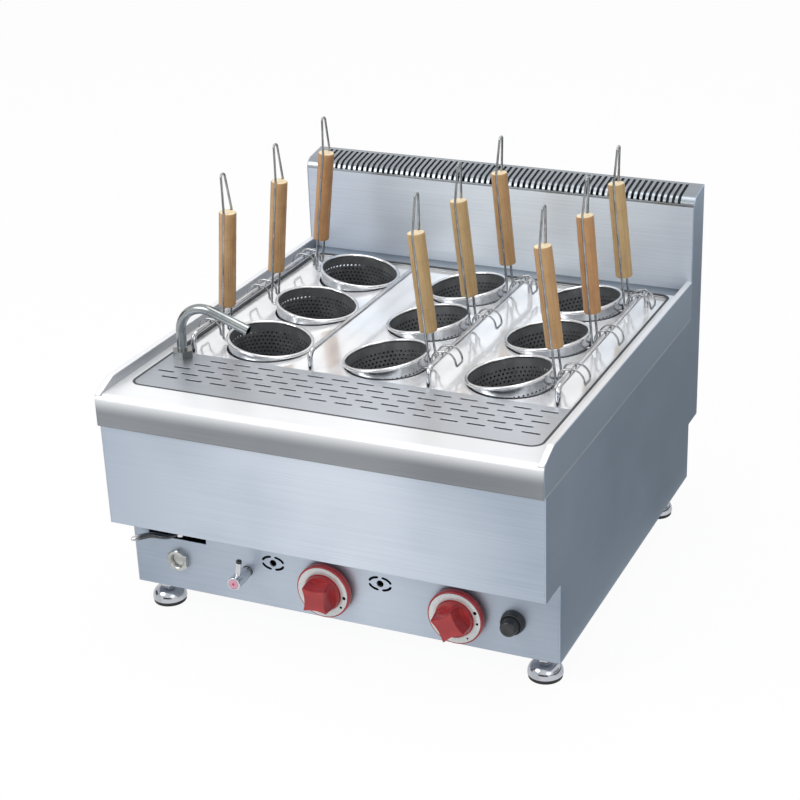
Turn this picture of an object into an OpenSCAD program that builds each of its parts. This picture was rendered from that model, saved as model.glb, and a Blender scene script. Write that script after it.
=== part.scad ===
// Counter-top gas pasta cooker with nine lift-out baskets.
// Origin at the centre of the footprint on the floor, +X right, +Y back, +Z up, millimetres.

/* [Casing] */
// Overall width of the casing
body_w = 600; // [590:1:620]
// Overall depth, from the worktop's nose to the rear of the flue box
body_d = 650; // [645:1:670]
// Height of the flue box's rear edge above the floor
guard_top = 475; // [440:1:520]
// Thickness of the casing's sheet steel
sheet = 1.5; // [1:0.1:2]
// Gap left at the seam between the worktop's skirt and the side panels
seam_gap = 0.5; // [0.2:0.1:1]
// Set-back of the upper front panel behind the worktop's nose
front_setback = 6; // [4:1:10]
// Set-back of the control panel behind the worktop's nose
control_setback = 56; // [50:1:62]
// Height of the step under the upper front panel
control_top = 150; // [145:1:160]
// Set-forward of the lower rear face from the flue box's rear
rear_setback = 42; // [38:1:44]
// Height of the step under the flue box's overhang
rear_step_z = 123; // [110:1:135]

/* [Worktop] */
// Height of the worktop's flat top above the floor
top_z = 333; // [330:1:340]
// Height of the skirt and of the front nose
skirt_h = 43; // [36:1:50]
// Radius of the front nose's upper edge
nose_r = 8; // [4:1:12]
// Height of the raised side lips above the flat top
lip_h = 13; // [8:1:18]
// Width of the raised side lips
lip_w = 8; // [6:1:10]
// Length of the slanted front end of a lip
lip_run = 34; // [20:1:40]
// Width of the well's opening
well_w = 556; // [550:1:562]
// Distance of the well's front edge from the nose
well_front = 46; // [42:1:50]
// Distance of the well's rear edge from the nose
well_back = 574; // [570:1:580]
// Corner radius of the well's opening
well_r = 16; // [10:1:20]

/* [Flue box] */
// Depth of the flue box behind the worktop
guard_d = 48; // [44:1:52]
// Radius of the grille's front roll
roll_r = 14; // [10:1:18]
// Rise of the grille's top towards the rear, in degrees
grille_rise = 10; // [6:1:14]
// Thickness of the cast grille
grille_t = 2.2; // [1.6:0.1:3]
// Distance between neighbouring grille slots
grille_pitch = 8.53; // [8:0.01:10]
// Width of a grille slot
grille_slot = 4.2; // [3:0.1:5]
// Plain margin at each end of the grille
grille_margin = 14; // [10:1:30]
// Plain strip along the grille's rear edge
grille_back_strip = 5; // [3:1:10]

/* [Tank and plates] */
// Distance of the tank's inside walls from the casing's sides
tank_gap = 34; // [31:1:38]
// Distance of the tank's front wall from the nose
tank_front = 160; // [158:1:162]
// Distance of the tank's rear wall from the nose
tank_back = 566; // [562:1:568]
// Height of the tank's floor
tank_floor_z = 165; // [160:1:175]
// Height of the shallow trough's floor below the drainer plate
trough_z = 300; // [290:1:310]
// Width of the tank's top flange outside the well's opening
flange_out = 8; // [5:1:10]
// Ledge of the tank's flange inside the well's opening
flange_in = 14; // [12:1:16]
// Drop of the basket deck below the worktop
deck_drop = 4.5; // [3:0.5:6]
// Thickness of the deck plate and of the drainer plate
plate_t = 1.5; // [1:0.1:2]
// Side clearance of the plates in the well's opening
plate_gap = 1; // [0.5:0.1:1.5]
// Distance of the drainer plate's rear edge from the nose
drainer_back = 160; // [156:1:162]
// Slots in one row of the drainer plate
slot_count = 15; // [10:1:15]
// Distance between neighbouring slots in a row
slot_pitch = 35.2; // [30:0.1:35.5]
// Length of a drainer slot
slot_len = 24; // [15:1:27]
// Width of a drainer slot
slot_w = 4; // [3:0.5:6]
// Rows of slots
slot_rows = 5; // [3:1:5]
// Distance between the rows of slots
slot_row_pitch = 16; // [12:0.5:16]
// Sideways offset between neighbouring rows
slot_stagger = 15; // [10:1:17]

/* [Baskets] */
// Distance between the basket columns
column_pitch = 172; // [170:1:174]
// Distance between the basket rows
row_pitch = 137.5; // [135:0.5:138]
// Distance of the middle row from the nose
row_mid = 364.5; // [363:0.5:366]
// Largest radius of a basket, over the rim bead
rim_r = 58.4; // [57:0.1:60]
// Radius of the rolled rim bead
bead_r = 2.5; // [2:0.1:3]
// Wall thickness of a basket
bowl_t = 1; // [0.8:0.1:1.4]
// Depth of a basket from the rim's centre to the bottom
bowl_depth = 135; // [110:1:145]
// Radius of a basket's flat bottom at its corner
bowl_bottom_r = 47; // [42:1:50]
// Radius of the rounded corner at the bottom
bowl_corner_r = 14; // [8:1:18]
// Diameter of a drain hole in a basket
hole_d = 5; // [3:0.5:6]
// Smooth band below the rim
plain_band = 42; // [30:1:60]
// Rows of holes in a basket's wall
hole_rows = 4; // [2:1:5]
// Distance between the rows of holes
hole_row_pitch = 17; // [12:0.5:18]
// Holes in one row
holes_per_row = 14; // [8:1:20]
// Distance between the holes of the bottom
bottom_pitch = 13; // [10:1:20]
// Radius of a hole in the deck plate
deck_hole_r = 57.5; // [57:0.1:57.8]
// Gap between the rim's low side and the deck
rim_gap = 0.3; // [0.2:0.1:0.8]
// Tilt of each basket towards its rail, by column and row, in degrees
basket_tilt = [[7, 8, 9], [8, 8, 7], [9, 7, 8]];

/* [Basket handles] */
// Distance of the grip's axis from the basket's axis, at the rim
handle_r = 65.5; // [65:0.5:68]
// Outward splay of the handle, in degrees
handle_splay = 2; // [0:0.5:3]
// Diameter of the handle's wire
wire_d = 3.2; // [2.8:0.1:3.6]
// Height of the grip's lower end above the rim
grip_low = 33; // [25:1:40]
// Length of the wooden grip
grip_len = 132; // [100:1:140]
// Diameter of the wooden grip
grip_d = 23; // [21:0.5:25]
// Clearance of the wire in the grip's groove
groove_gap = 0.15; // [0.1:0.05:0.3]
// Depth of the weld of a wire into the basket's wall
weld = 0.4; // [0.2:0.1:0.6]
// Depth of the wire's weld below the rim
weld_low = 13; // [12:0.5:14]
// Height of the hanging loop above the grip
loop_h = 50; // [35:1:60]
// Outward lean of the hanging loop's top
loop_out = 8; // [0:1:12]
// Half the width of the hanging loop's top
loop_half = 4.5; // [4:0.5:6]
// Diameter of the hook's wire
hook_d = 2.8; // [2.4:0.1:3]
// Distance of the hook's leg from the handle's wire
hook_neck = 4; // [3.5:0.5:5]
// Length of the straight end of the hook behind the rail
hook_tail = 5; // [4:1:8]

/* [Basket rails] */
// Distance of a rail from the axis of the baskets that hang on it
rail_offset = 83; // [82:0.5:84]
// Height of a rail's axis above the deck
rail_h = 26.5; // [24:0.5:30]
// Diameter of the rail's rod
rail_d = 7; // [6:0.5:8]
// Bend radius of the rail's corners
rail_bend = 10; // [8:1:14]
// Distance of the rails' front legs from the nose
rail_front = 171; // [168:1:174]
// Distance of the rails' rear legs from the nose
rail_back = 531; // [525:1:540]
// Clearance of a basket's hook over the rail
hook_gap = 0.3; // [0.2:0.1:0.6]

/* [Gas knobs] */
// Position of the left knob from the centre line
left_knob_x = -16; // [-20:1:-10]
// Position of the right knob from the centre line
right_knob_x = 166; // [160:1:172]
// Height of the knobs and of the gas valves
knob_z = 83; // [80:1:86]
// Radius of a knob's skirt
skirt_r = 37; // [34:1:40]
// Thickness of a knob's skirt
skirt_t = 9; // [7:1:12]
// Radius of a knob's grip
knob_r = 26; // [22:1:28]
// Projection of a knob's grip in front of the skirt
knob_len = 20; // [16:1:24]
// Width of the wedge across the knob's grip at its pointing end
knob_bar = 27; // [20:1:30]
// Width of the wedge at its other end
knob_tail = 12; // [8:1:18]
// Direction of the left knob's wedge from upright, in degrees
left_knob_turn = 97; // [0:1:180]
// Direction of the right knob's wedge from upright, in degrees
right_knob_turn = 121; // [0:1:180]
// Push-in travel of a knob
knob_travel = 4; // [3:1:5]
// Gap behind a knob's skirt, on top of the travel
knob_gap = 1; // [0.5:0.5:2]
// Radius of a gas valve's spindle
spindle_r = 4; // [3:0.5:4.5]
// Running clearance of a shaft in its bore
run_gap = 0.05; // [0.02:0.01:0.08]

/* [Igniter] */
// Position of the igniter from the centre line
igniter_x = 239; // [235:1:243]
// Height of the igniter
igniter_z = 86; // [84:1:90]
// Radius of the igniter's bezel
bezel_r = 16; // [14:1:17]
// Projection of the bezel
bezel_t = 7; // [5:1:9]
// Radius of the igniter's button
button_r = 11; // [9:0.5:12]
// Projection of the button in front of the bezel
button_len = 16; // [12:1:18]
// Travel of the button
button_travel = 5; // [3:0.5:6]

/* [Drain] */
// Position of the drain from the centre line
drain_x = -234; // [-238:1:-230]
// Height of the drain outlet
drain_z = 82; // [80:1:84]
// Width across the flats of the outlet's hexagon
outlet_af = 30; // [28:1:32]
// Projection of the outlet's hexagon
outlet_t = 11; // [8:1:14]
// Radius of the outlet's threaded bore
outlet_bore_r = 9.5; // [8:0.5:10]
// Radius of the outlet's neck in the control panel
outlet_neck_r = 12; // [11.5:0.5:13]
// Height of the lever above the outlet
lever_rise = 33.5; // [31:0.5:36]
// Length of the lever's slot in the control panel
lever_slot_l = 86; // [70:1:90]
// Height of the lever's slot in the control panel
lever_slot_h = 7.5; // [7:0.5:9]
// Thickness of the lever
lever_t = 5; // [4:0.5:5.5]
// Width of the lever
lever_w = 8; // [6:0.5:9]
// Distance of the lever's pivot behind the control panel
pivot_back = 10; // [9.5:0.5:12]
// Length of the lever's arm
lever_arm = 46; // [40:1:50]

/* [Water] */
// Position of the water tap from the centre line
tap_x = -132; // [-136:1:-128]
// Height of the water tap
tap_z = 84; // [82:1:88]
// Radius of the tap's handle
tap_r = 9; // [8:0.5:10]
// Length of the tap's handle
tap_len = 33; // [28:1:36]
// Radius of the tap's cross pin
pin_r = 3.2; // [2.5:0.1:4]
// Length of the tap's cross pin above the handle
pin_len = 22; // [16:1:26]
// Position of the spout from the centre line
spout_x = -258; // [-260:1:-256]
// Distance of the spout from the nose
spout_y = 147; // [146:1:148]
// Outside diameter of the spout
spout_d = 13; // [12:0.5:14]
// Outside diameter of the pipe that feeds the spout
riser_d = 10; // [8:0.5:10]
// Wall thickness of the spout
spout_t = 1.2; // [0.8:0.1:1.8]
// Bend radius of the spout's arch
spout_bend = 36; // [30:1:40]
// Height of the spout's arch above the worktop
spout_h = 71; // [60:1:80]
// Reach of the spout
spout_reach = 101; // [90:1:110]
// Downward slope of the spout's outlet, in degrees
spout_dip = 20; // [10:1:30]
// Width across the flats of the spout's nut
nut_af = 25; // [24:1:27]
// Height of the spout's nut
nut_h = 10; // [8:1:12]

/* [Feet] */
// Height of the feet, from the floor to the base pan
foot_h = 38; // [34:1:42]
// Radius of a foot's bell
foot_r = 23; // [20:1:24]
// Height of a foot's rubber pad
pad_h = 6; // [4:1:8]
// Gap of the pad's bonding layer
pad_gap = 0.2; // [0.1:0.1:0.5]
// Distance of the feet from the casing's sides
foot_side = 29; // [27:1:35]
// Distance of the front feet from the nose
foot_front = 82; // [81:1:90]
// Distance of the rear feet from the lower rear face
foot_rear = 56; // [48:1:68]
// Radius of a foot's threaded stem
stem_r = 6; // [5:0.5:7]
// Length of a foot's stem above the base pan
stem_len = 24; // [20:1:28]

/* [Inside] */
// Position of the burners from the centre line
burner_x = 110; // [106:1:114]
// Width of a burner's square tube
burner_w = 44; // [36:1:48]
// Height of the burners' axis
burner_z = 118; // [115:1:120]
// Radius of the gas pipes
gas_pipe_r = 8; // [7:0.5:10]
// Distance of the gas inlet from the casing's right side
inlet_side = 28; // [24:1:32]
// Radius of the gas and water inlets' threads
inlet_r = 10.5; // [10:0.5:12]
// Length of the gas and water inlets' nipples behind the rear panel
inlet_len = 24; // [16:1:30]
// Position of the water inlet from the centre line
supply_x = -166; // [-172:1:-160]
// Radius of the water supply pipe
supply_r = 6; // [5:0.5:7]

/* [Hidden] */
$fn = 48;

steel = [0.74, 0.78, 0.82];
polished = [0.86, 0.88, 0.9];
chrome = [0.8, 0.82, 0.84];
dark_steel = [0.35, 0.37, 0.4];
brass = [0.75, 0.6, 0.3];
wood = [0.72, 0.53, 0.32];
red = [0.7, 0.16, 0.18];
black = [0.12, 0.12, 0.13];

// Overshoot of a cutting tool past the face that it cuts
cut = 1;
// Length by which a rod's straight piece runs into its bend
lap = 0.1;
// Thickening of a rod at its bends
swell = 0.03;
skirt_z = top_z - skirt_h;
tank_w = body_w - 2 * tank_gap;
foot_x = body_w / 2 - foot_side;
foot_back = body_d - rear_setback - foot_rear;
inlet_x = body_w / 2 - inlet_side;
deck_top = top_z - deck_drop;
flange_top = deck_top - plate_t;
inner_w = body_w - 2 * sheet;
guard_front = body_d - guard_d;
panel_in = control_setback + sheet;
pan_top = foot_h + sheet;

// Y coordinate of a point that lies a distance back from the worktop's nose
function back(d) = d - body_d / 2;
function arc(centre, r, a0, a1, n) =
    [for (i = [0:n]) centre + r * [cos(a0 + (a1 - a0) * i / n), sin(a0 + (a1 - a0) * i / n)]];
function unit(v) = v / norm(v);
// Angle by which a path of points turns at point b
function turn(a, b, c) = acos(unit(b - a) * unit(c - b));
function tidy(v) = round(v * 100) / 100;
function reversed(list) = [for (i = [len(list) - 1:-1:0]) list[i]];

// Extrudes a profile, drawn as depth and height, along X about the centre line
module along_x(w) {
    rotate([90, 0, 90]) linear_extrude(height = w, center = true) children();
}

module rounded_rect(w, d, r) {
    square([w - 2 * r, d], center = true);
    square([w, d - 2 * r], center = true);
    for (sx = [-1, 1]) for (sy = [-1, 1])
        translate([sx * (w / 2 - r), sy * (d / 2 - r)]) circle(r);
}

// Rounded opening of the well, grown by a margin, as a flat outline
module well_outline(grow) {
    translate([0, back((well_front + well_back) / 2)])
        rounded_rect(well_w + 2 * grow, well_back - well_front + 2 * grow, well_r + grow);
}

// Cylinder along Y from the control panel's outer face, positive towards the front
module panel_cylinder(x, z, from, to, r, sides = 48) {
    translate([x, back(control_setback) - from, z])
        rotate([90, 0, 0]) cylinder(h = to - from, r = r, $fn = sides);
}

module rod_between(a, b, d) {
    v = b - a;
    translate(a) rotate([0, acos(v.z / norm(v)), atan2(v.y, v.x)]) cylinder(h = norm(v), d = d);
}

// Bend of a rod at point b, turning with a centre-line radius r
module rod_bend(a, b, c, r, d) {
    u = unit(b - a);
    w = unit(c - b);
    phi = turn(a, b, c);
    n = unit(w - u * (u * w));
    z = cross(u, n);
    m = b - u * r * tan(phi / 2) + n * r;
    multmatrix([[-n.x, u.x, z.x, m.x], [-n.y, u.y, z.y, m.y], [-n.z, u.z, z.z, m.z], [0, 0, 0, 1]])
        rotate_extrude(angle = phi) translate([r, 0]) circle(d = d, $fn = 24);
}

// Round rod along corner points, with one bend radius for each inner corner
module bent_rod(points, bends, d) {
    last = len(points) - 1;
    trims = [for (i = [0:last]) i == 0 || i == last ? 0
        : bends[i - 1] * tan(turn(points[i - 1], points[i], points[i + 1]) / 2) - lap];
    for (i = [0:last - 1]) {
        u = unit(points[i + 1] - points[i]);
        rod_between(points[i] + u * trims[i], points[i + 1] - u * trims[i + 1], d);
    }
    for (i = [1:1:last - 1])
        rod_bend(points[i - 1], points[i], points[i + 1], bends[i - 1], d + 2 * swell);
}

// Base and side panels

foot_places = [[-foot_x, foot_front], [foot_x, foot_front], [-foot_x, foot_back], [foot_x, foot_back]];
boss_r = stem_r + 4;
boss_h = 20;
pan_flange = 15;
vent_l = 60;
vent_w = 8;

module base_pan() {
    pan_y0 = back(panel_in);
    pan_y1 = back(body_d - rear_setback - sheet);
    color(steel) difference() {
        union() {
            translate([-inner_w / 2, pan_y0, foot_h]) cube([inner_w, pan_y1 - pan_y0, sheet]);
            for (s = [-1, 1]) translate([s * (inner_w - sheet) / 2 - sheet / 2, pan_y0, foot_h])
                cube([sheet, pan_y1 - pan_y0, pan_flange]);
            for (p = foot_places) translate([p.x, back(p.y), foot_h]) cylinder(h = sheet + boss_h, r = boss_r);
        }
        for (p = foot_places) translate([p.x, back(p.y), foot_h - cut])
            cylinder(h = sheet + boss_h + 2 * cut, r = stem_r + run_gap);
        for (i = [-2:2]) for (j = [-1, 0, 1])
            translate([i * 90 - vent_l / 2, (pan_y0 + pan_y1) / 2 + j * 110, foot_h - cut])
                cube([vent_l, vent_w, sheet + 2 * cut]);
    }
}

roll_end = 90 + grille_rise;
roll_centre_z = guard_top - roll_r * sin(roll_end)
    - (guard_d - roll_r - roll_r * cos(roll_end)) * tan(grille_rise);
// Outline of the flue box's rolled top, moved inwards by a distance
function roll(t) = concat(
    [[back(guard_front) + t, roll_centre_z]],
    arc([back(guard_front) + roll_r, roll_centre_z], roll_r - t, 180, roll_end, 8),
    [[back(body_d), guard_top - t / cos(grille_rise)]]);

module side_panel(s) {
    color(steel) translate([s * (body_w - sheet) / 2, 0, 0]) along_x(sheet) polygon(concat([
        [back(front_setback), skirt_z - seam_gap],
        [back(front_setback), control_top],
        [back(control_setback), control_top],
        [back(control_setback), foot_h],
        [back(body_d - rear_setback), foot_h],
        [back(body_d - rear_setback), rear_step_z],
        [back(body_d), rear_step_z]],
        reversed(roll(0)),
        [[back(guard_front), skirt_z - seam_gap]]));
}

module rear_panel() {
    low = back(body_d - rear_setback);
    rear = back(body_d);
    color(steel) difference() {
        along_x(inner_w) polygon([
            [low, foot_h], [low, rear_step_z], [rear, rear_step_z], [rear, rear_top_z()],
            [rear - sheet, rear_top_z()], [rear - sheet, rear_step_z + sheet],
            [low - sheet, rear_step_z + sheet], [low - sheet, foot_h]]);
        translate([inlet_x, low + cut, knob_z]) rotate([90, 0, 0])
            cylinder(h = sheet + 2 * cut, r = gas_pipe_r + seam_gap);
        translate([supply_x, low + cut, tap_z]) rotate([90, 0, 0])
            cylinder(h = sheet + 2 * cut, r = supply_r + seam_gap);
    }
}
// Top of the rear sheet, just under the grille's rear edge
function rear_top_z() = guard_top - grille_t / cos(grille_rise) - sheet * tan(grille_rise) - seam_gap;

module front_panel() {
    front = back(front_setback);
    color(steel) along_x(inner_w) polygon([
        [front, skirt_z], [front, control_top], [back(panel_in), control_top],
        [back(panel_in), control_top + sheet], [front + sheet, control_top + sheet], [front + sheet, skirt_z]]);
}

sight_r = 4;
sight_z = 103;
sight_x = [-93, 59];
lever_z = drain_z + lever_rise;

module control_panel() {
    color(steel) difference() {
        translate([-inner_w / 2, back(control_setback), foot_h])
            cube([inner_w, sheet, control_top - foot_h]);
        for (x = [left_knob_x, right_knob_x])
            panel_cylinder(x, knob_z, -sheet - cut, cut, spindle_r + 2);
        for (x = sight_x) panel_cylinder(x, sight_z, -sheet - cut, cut, sight_r);
        panel_cylinder(igniter_x, igniter_z, -sheet - cut, cut, igniter_neck_r + seam_gap);
        panel_cylinder(drain_x, drain_z, -sheet - cut, cut, outlet_neck_r + seam_gap);
        panel_cylinder(tap_x, tap_z, -sheet - cut, cut, tap_neck_r + seam_gap);
        translate([drain_x - lever_slot_l / 2, back(control_setback) - cut, lever_z - lever_slot_h / 2])
            cube([lever_slot_l, sheet + 2 * cut, lever_slot_h]);
    }
}

// Worktop

module worktop() {
    front = back(0);
    rear = back(guard_front);
    color(steel) {
        difference() {
            union() {
                along_x(body_w) polygon(concat(
                    [[front, skirt_z]],
                    arc([front + nose_r, top_z - nose_r], nose_r, 180, 90, 8),
                    [[rear, top_z], [rear, skirt_z]]));
                for (s = [-1, 1]) translate([s * (body_w - lip_w) / 2, 0, 0]) along_x(lip_w) polygon([
                    [front + cut, top_z - sheet], [front + cut, top_z], [front + lip_run, top_z + lip_h],
                    [rear, top_z + lip_h], [rear, top_z - sheet]]);
            }
            along_x(inner_w) polygon(concat(
                [[front + front_setback + sheet, skirt_z - cut], [front + front_setback + sheet, skirt_z + sheet],
                    [front + sheet, skirt_z + sheet]],
                arc([front + nose_r, top_z - nose_r], nose_r - sheet, 180, 90, 8),
                [[rear + cut, top_z - sheet], [rear + cut, skirt_z - cut]]));
            for (s = [-1, 1]) translate([s * (body_w - lip_w) / 2, 0, 0]) along_x(lip_w - 2 * sheet) polygon([
                [front + lip_run, top_z - sheet - cut], [front + lip_run + sheet, top_z + lip_h - sheet],
                [rear + cut, top_z + lip_h - sheet], [rear + cut, top_z - sheet - cut]]);
            translate([0, 0, top_z - sheet - cut]) linear_extrude(sheet + 2 * cut) well_outline(0);
        }
        translate([0, 0, flange_top]) linear_extrude(top_z - flange_top) difference() {
            well_outline(sheet);
            well_outline(0);
        }
    }
}

// Flue box

module backguard() {
    foot_z = skirt_z + sheet;
    color(steel) translate([-inner_w / 2, back(guard_front), foot_z])
        cube([inner_w, sheet, roll_centre_z - foot_z]);
}

module flue_grille() {
    slots = floor((inner_w - 2 * grille_margin) / grille_pitch);
    color(polished) difference() {
        along_x(inner_w) polygon(concat(roll(0), reversed(roll(grille_t))));
        for (i = [0:slots - 1])
            translate([(i - (slots - 1) / 2) * grille_pitch - grille_slot / 2, back(guard_front) - cut,
                roll_centre_z + 3])
                cube([grille_slot, guard_d - grille_back_strip + cut, guard_top - roll_centre_z]);
    }
}

duct_gap = 2;
duct_w = 480;

module flue_duct() {
    y0 = back(guard_front) + sheet + duct_gap;
    y1 = back(body_d) - sheet - duct_gap;
    z0 = rear_step_z + sheet;
    z1 = roll_centre_z - duct_gap;
    color(dark_steel) difference() {
        translate([-duct_w / 2, y0, z0]) cube([duct_w, y1 - y0, z1 - z0]);
        translate([-duct_w / 2 + sheet, y0 + sheet, z0 - cut])
            cube([duct_w - 2 * sheet, y1 - y0 - 2 * sheet, z1 - z0 + 2 * cut]);
    }
}

// Tank, deck and drainer

tank_r = 24;
trough_front = well_front + flange_in;
trough_w = well_w - 2 * flange_in;
drain_y = 195;
drain_hole_r = 7;
riser_gap = 0.6;

// Block with rounded upright corners between two distances from the nose
module rounded_block(w, d0, d1, z0, z1, r) {
    translate([0, back((d0 + d1) / 2), z0]) linear_extrude(z1 - z0) rounded_rect(w, d1 - d0, r);
}

module tank() {
    color(polished) difference() {
        union() {
            rounded_block(tank_w + 2 * sheet, tank_front - sheet, tank_back + sheet,
                tank_floor_z - sheet, flange_top, tank_r + sheet);
            rounded_block(trough_w + 2 * sheet, trough_front - sheet, tank_front + 2 * tank_r,
                trough_z - sheet, flange_top, well_r);
            translate([0, 0, flange_top - sheet]) linear_extrude(sheet) well_outline(flange_out);
        }
        rounded_block(tank_w, tank_front, tank_back, tank_floor_z, flange_top + cut, tank_r);
        rounded_block(trough_w, trough_front, tank_front + 2 * tank_r - sheet, trough_z, flange_top + cut,
            well_r - sheet);
        translate([spout_x, back(spout_y), trough_z - sheet - cut])
            cylinder(h = sheet + 2 * cut, r = riser_d / 2 + riser_gap);
        translate([drain_x, back(drain_y), tank_floor_z - sheet - cut])
            cylinder(h = sheet + 2 * cut, r = drain_hole_r);
    }
}

function column_x(c) = (c - 1) * column_pitch;
function row_y(r) = back(row_mid + (r - 1) * row_pitch);

module deck_plate() {
    d0 = drainer_back + plate_gap;
    d1 = well_back - plate_gap;
    color(polished) difference() {
        translate([0, 0, flange_top]) linear_extrude(plate_t) intersection() {
            well_outline(-plate_gap);
            translate([-body_w / 2, back(d0)]) square([body_w, d1 - d0 + cut]);
        }
        for (c = [0:2]) for (r = [0:2])
            translate([column_x(c), row_y(r), flange_top - cut]) cylinder(h = plate_t + 2 * cut, r = deck_hole_r);
    }
}

module drainer_slot() {
    square([slot_len - slot_w, slot_w], center = true);
    for (s = [-1, 1]) translate([s * (slot_len - slot_w) / 2, 0]) circle(slot_w / 2, $fn = 24);
}

// Slots of one row; the slots under the spout's nut are left out
module drainer_row(row) {
    y = drainer_back - 15 - (slot_rows - 1 - row) * slot_row_pitch;
    x0 = (row % 2 == 0 ? slot_stagger : -slot_stagger) / 2 - (slot_count - 1) / 2 * slot_pitch;
    for (i = [0:slot_count - 1]) {
        x = x0 + i * slot_pitch;
        clear = norm([x - spout_x, y - spout_y]) > nut_af / 2 + slot_len / 2 + 4;
        if (clear || y < spout_y - nut_af) translate([x, back(y)]) drainer_slot();
    }
}

module drainer_plate() {
    color(polished) {
        difference() {
            translate([0, 0, top_z - plate_t]) linear_extrude(plate_t) drainer_outline(0);
            translate([0, 0, top_z - plate_t - cut]) linear_extrude(plate_t + 2 * cut)
                for (row = [0:slot_rows - 1]) drainer_row(row);
            translate([spout_x, back(spout_y), top_z - plate_t - cut])
                cylinder(h = plate_t + 2 * cut, r = spout_d / 2 + riser_gap);
        }
        translate([0, 0, flange_top]) linear_extrude(top_z - flange_top) difference() {
            drainer_outline(0);
            drainer_outline(plate_t);
        }
    }
}

// Outline of the drainer plate, shrunk at its front and sides by a margin
module drainer_outline(margin) {
    intersection() {
        well_outline(-plate_gap - margin);
        translate([-body_w / 2, back(0)]) square([body_w, drainer_back]);
    }
}

// Four staple-shaped rods that the baskets' hooks hang on
module basket_rails() {
    rail_x = [column_x(0) - rail_offset, column_x(1) - rail_offset, column_x(1) + rail_offset,
        column_x(2) + rail_offset];
    z = deck_top + rail_h;
    color(chrome) for (x = rail_x)
        bent_rod([[x, back(rail_front), deck_top], [x, back(rail_front), z],
            [x, back(rail_back), z], [x, back(rail_back), deck_top]], [rail_bend, rail_bend], rail_d);
}

// Baskets

bead_centre_r = rim_r - bead_r;
bowl_top_r = bead_centre_r;
yw = tidy(grip_d / 2 - wire_d / 3);
wire_bend = 4;
hook_bend = 3.5;

function tilt_of(c, r) = basket_tilt[c][r];
// Height of the rim's centre over the deck, along the basket's own axis, with its low side on the deck
function rim_height(c, r) =
    (bead_r + rim_gap + bead_centre_r * sin(tilt_of(c, r))) / cos(tilt_of(c, r));
// Rail's axis in the basket's own frame, as distance from its axis and height over its rim
function rail_local(c, r) = let (t = tilt_of(c, r)) [
    rail_offset * cos(t) + rail_h * sin(t),
    rail_h * cos(t) - rail_offset * sin(t) - rim_height(c, r)];
// Outer radius of a basket's wall at a depth below the rim
function wall_r(depth) = bowl_top_r - (bowl_top_r - bowl_bottom_r) * depth / bowl_depth;

// Places a basket in its hole; the left column's handles stand on the left
module at_basket(c, r) {
    translate([column_x(c), row_y(r), deck_top]) rotate([0, 0, c == 0 ? 180 : 0])
        rotate([0, -tilt_of(c, r), 0]) translate([0, 0, rim_height(c, r)]) children();
}

// Filled outline of a basket, half of its section, moved inwards by a wall
module bowl_section(t, top) {
    r = bowl_corner_r - t;
    polygon(concat(
        [[0, top], [bowl_top_r - t, top]],
        arc([wall_r(bowl_depth - bowl_corner_r) - bowl_corner_r, bowl_corner_r - bowl_depth], r, 0, -90, 5),
        [[0, t - bowl_depth]]));
}

module bowl(c, r) {
    color(dark_steel) at_basket(c, r) difference() {
        union() {
            rotate_extrude() difference() {
                bowl_section(0, 0);
                bowl_section(bowl_t, cut);
            }
            rotate_extrude() translate([bead_centre_r, 0]) circle(bead_r, $fn = 24);
        }
        for (row = [0:hole_rows - 1]) for (i = [0:holes_per_row - 1])
            translate([0, 0, -plain_band - row * hole_row_pitch])
                rotate([0, 90, (i + row % 2 / 2) * 360 / holes_per_row])
                translate([0, 0, bowl_bottom_r - 8]) cylinder(h = 20, d = hole_d, $fn = 16);
        reach = bowl_bottom_r - bowl_corner_r - hole_d / 2;
        n = floor(reach / bottom_pitch) + 1;
        for (i = [-n:n]) for (j = [-n:n]) {
            p = bottom_pitch * [i + j / 2, j * sqrt(3) / 2];
            if (norm(p) < reach) translate([p.x, p.y, -bowl_depth - cut])
                cylinder(h = bowl_t + 2 * cut, d = hole_d, $fn = 16);
        }
    }
}

// Frame of a handle: its origin on the rim's level, its Z axis along the grip
module in_handle() {
    translate([handle_r, 0, 0]) rotate([0, handle_splay, 0]) children();
}

module handle(c, r) {
    grip_top = grip_low + grip_len;
    wall_x = tidy((sqrt(pow(wall_r(weld_low), 2) - yw * yw) - handle_r + weld_low * sin(handle_splay))
        / cos(handle_splay));
    wire = [[wall_x - weld, -yw, -weld_low], [0, -yw, -weld_low], [0, -yw, grip_top],
        [loop_out, -loop_half, grip_top + loop_h]];
    rail = rail_local(c, r);
    crown = tidy(rail.y + (rail_d + hook_d) / 2 + hook_gap);
    inner = handle_r + hook_neck;
    hook_r = tidy(rail.x - inner);
    outer = inner + 2 * hook_r;
    low = wire_bend + 1 - weld_low;
    tip = crown - hook_r - hook_tail;
    hook = [[handle_r, -yw, low], [inner, -yw, low], [inner, -yw, crown], [outer, -yw, crown], [outer, -yw, tip]];
    arch = hook_r - 0.5;
    rise = min(arch, crown - low - hook_neck);
    color(chrome) at_basket(c, r) {
        in_handle() bent_rod(concat(wire, [for (p = reversed(wire)) [p.x, -p.y, p.z]]),
            [wire_bend, 12, loop_half - 0.5, loop_half - 0.5, 12, wire_bend], wire_d);
        bent_rod(concat(hook, [for (p = reversed(hook)) [p.x, -p.y, p.z]]),
            [hook_neck - 0.5, rise, arch, hook_bend, hook_bend, arch, rise, hook_neck - 0.5], hook_d);
    }
}

module grip(c, r) {
    color(wood) at_basket(c, r) in_handle() translate([0, 0, grip_low]) linear_extrude(grip_len) difference() {
        circle(d = grip_d);
        for (s = [-1, 1]) translate([0, s * yw]) circle(d = wire_d + 2 * groove_gap, $fn = 24);
    }
}

// Gas train

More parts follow.
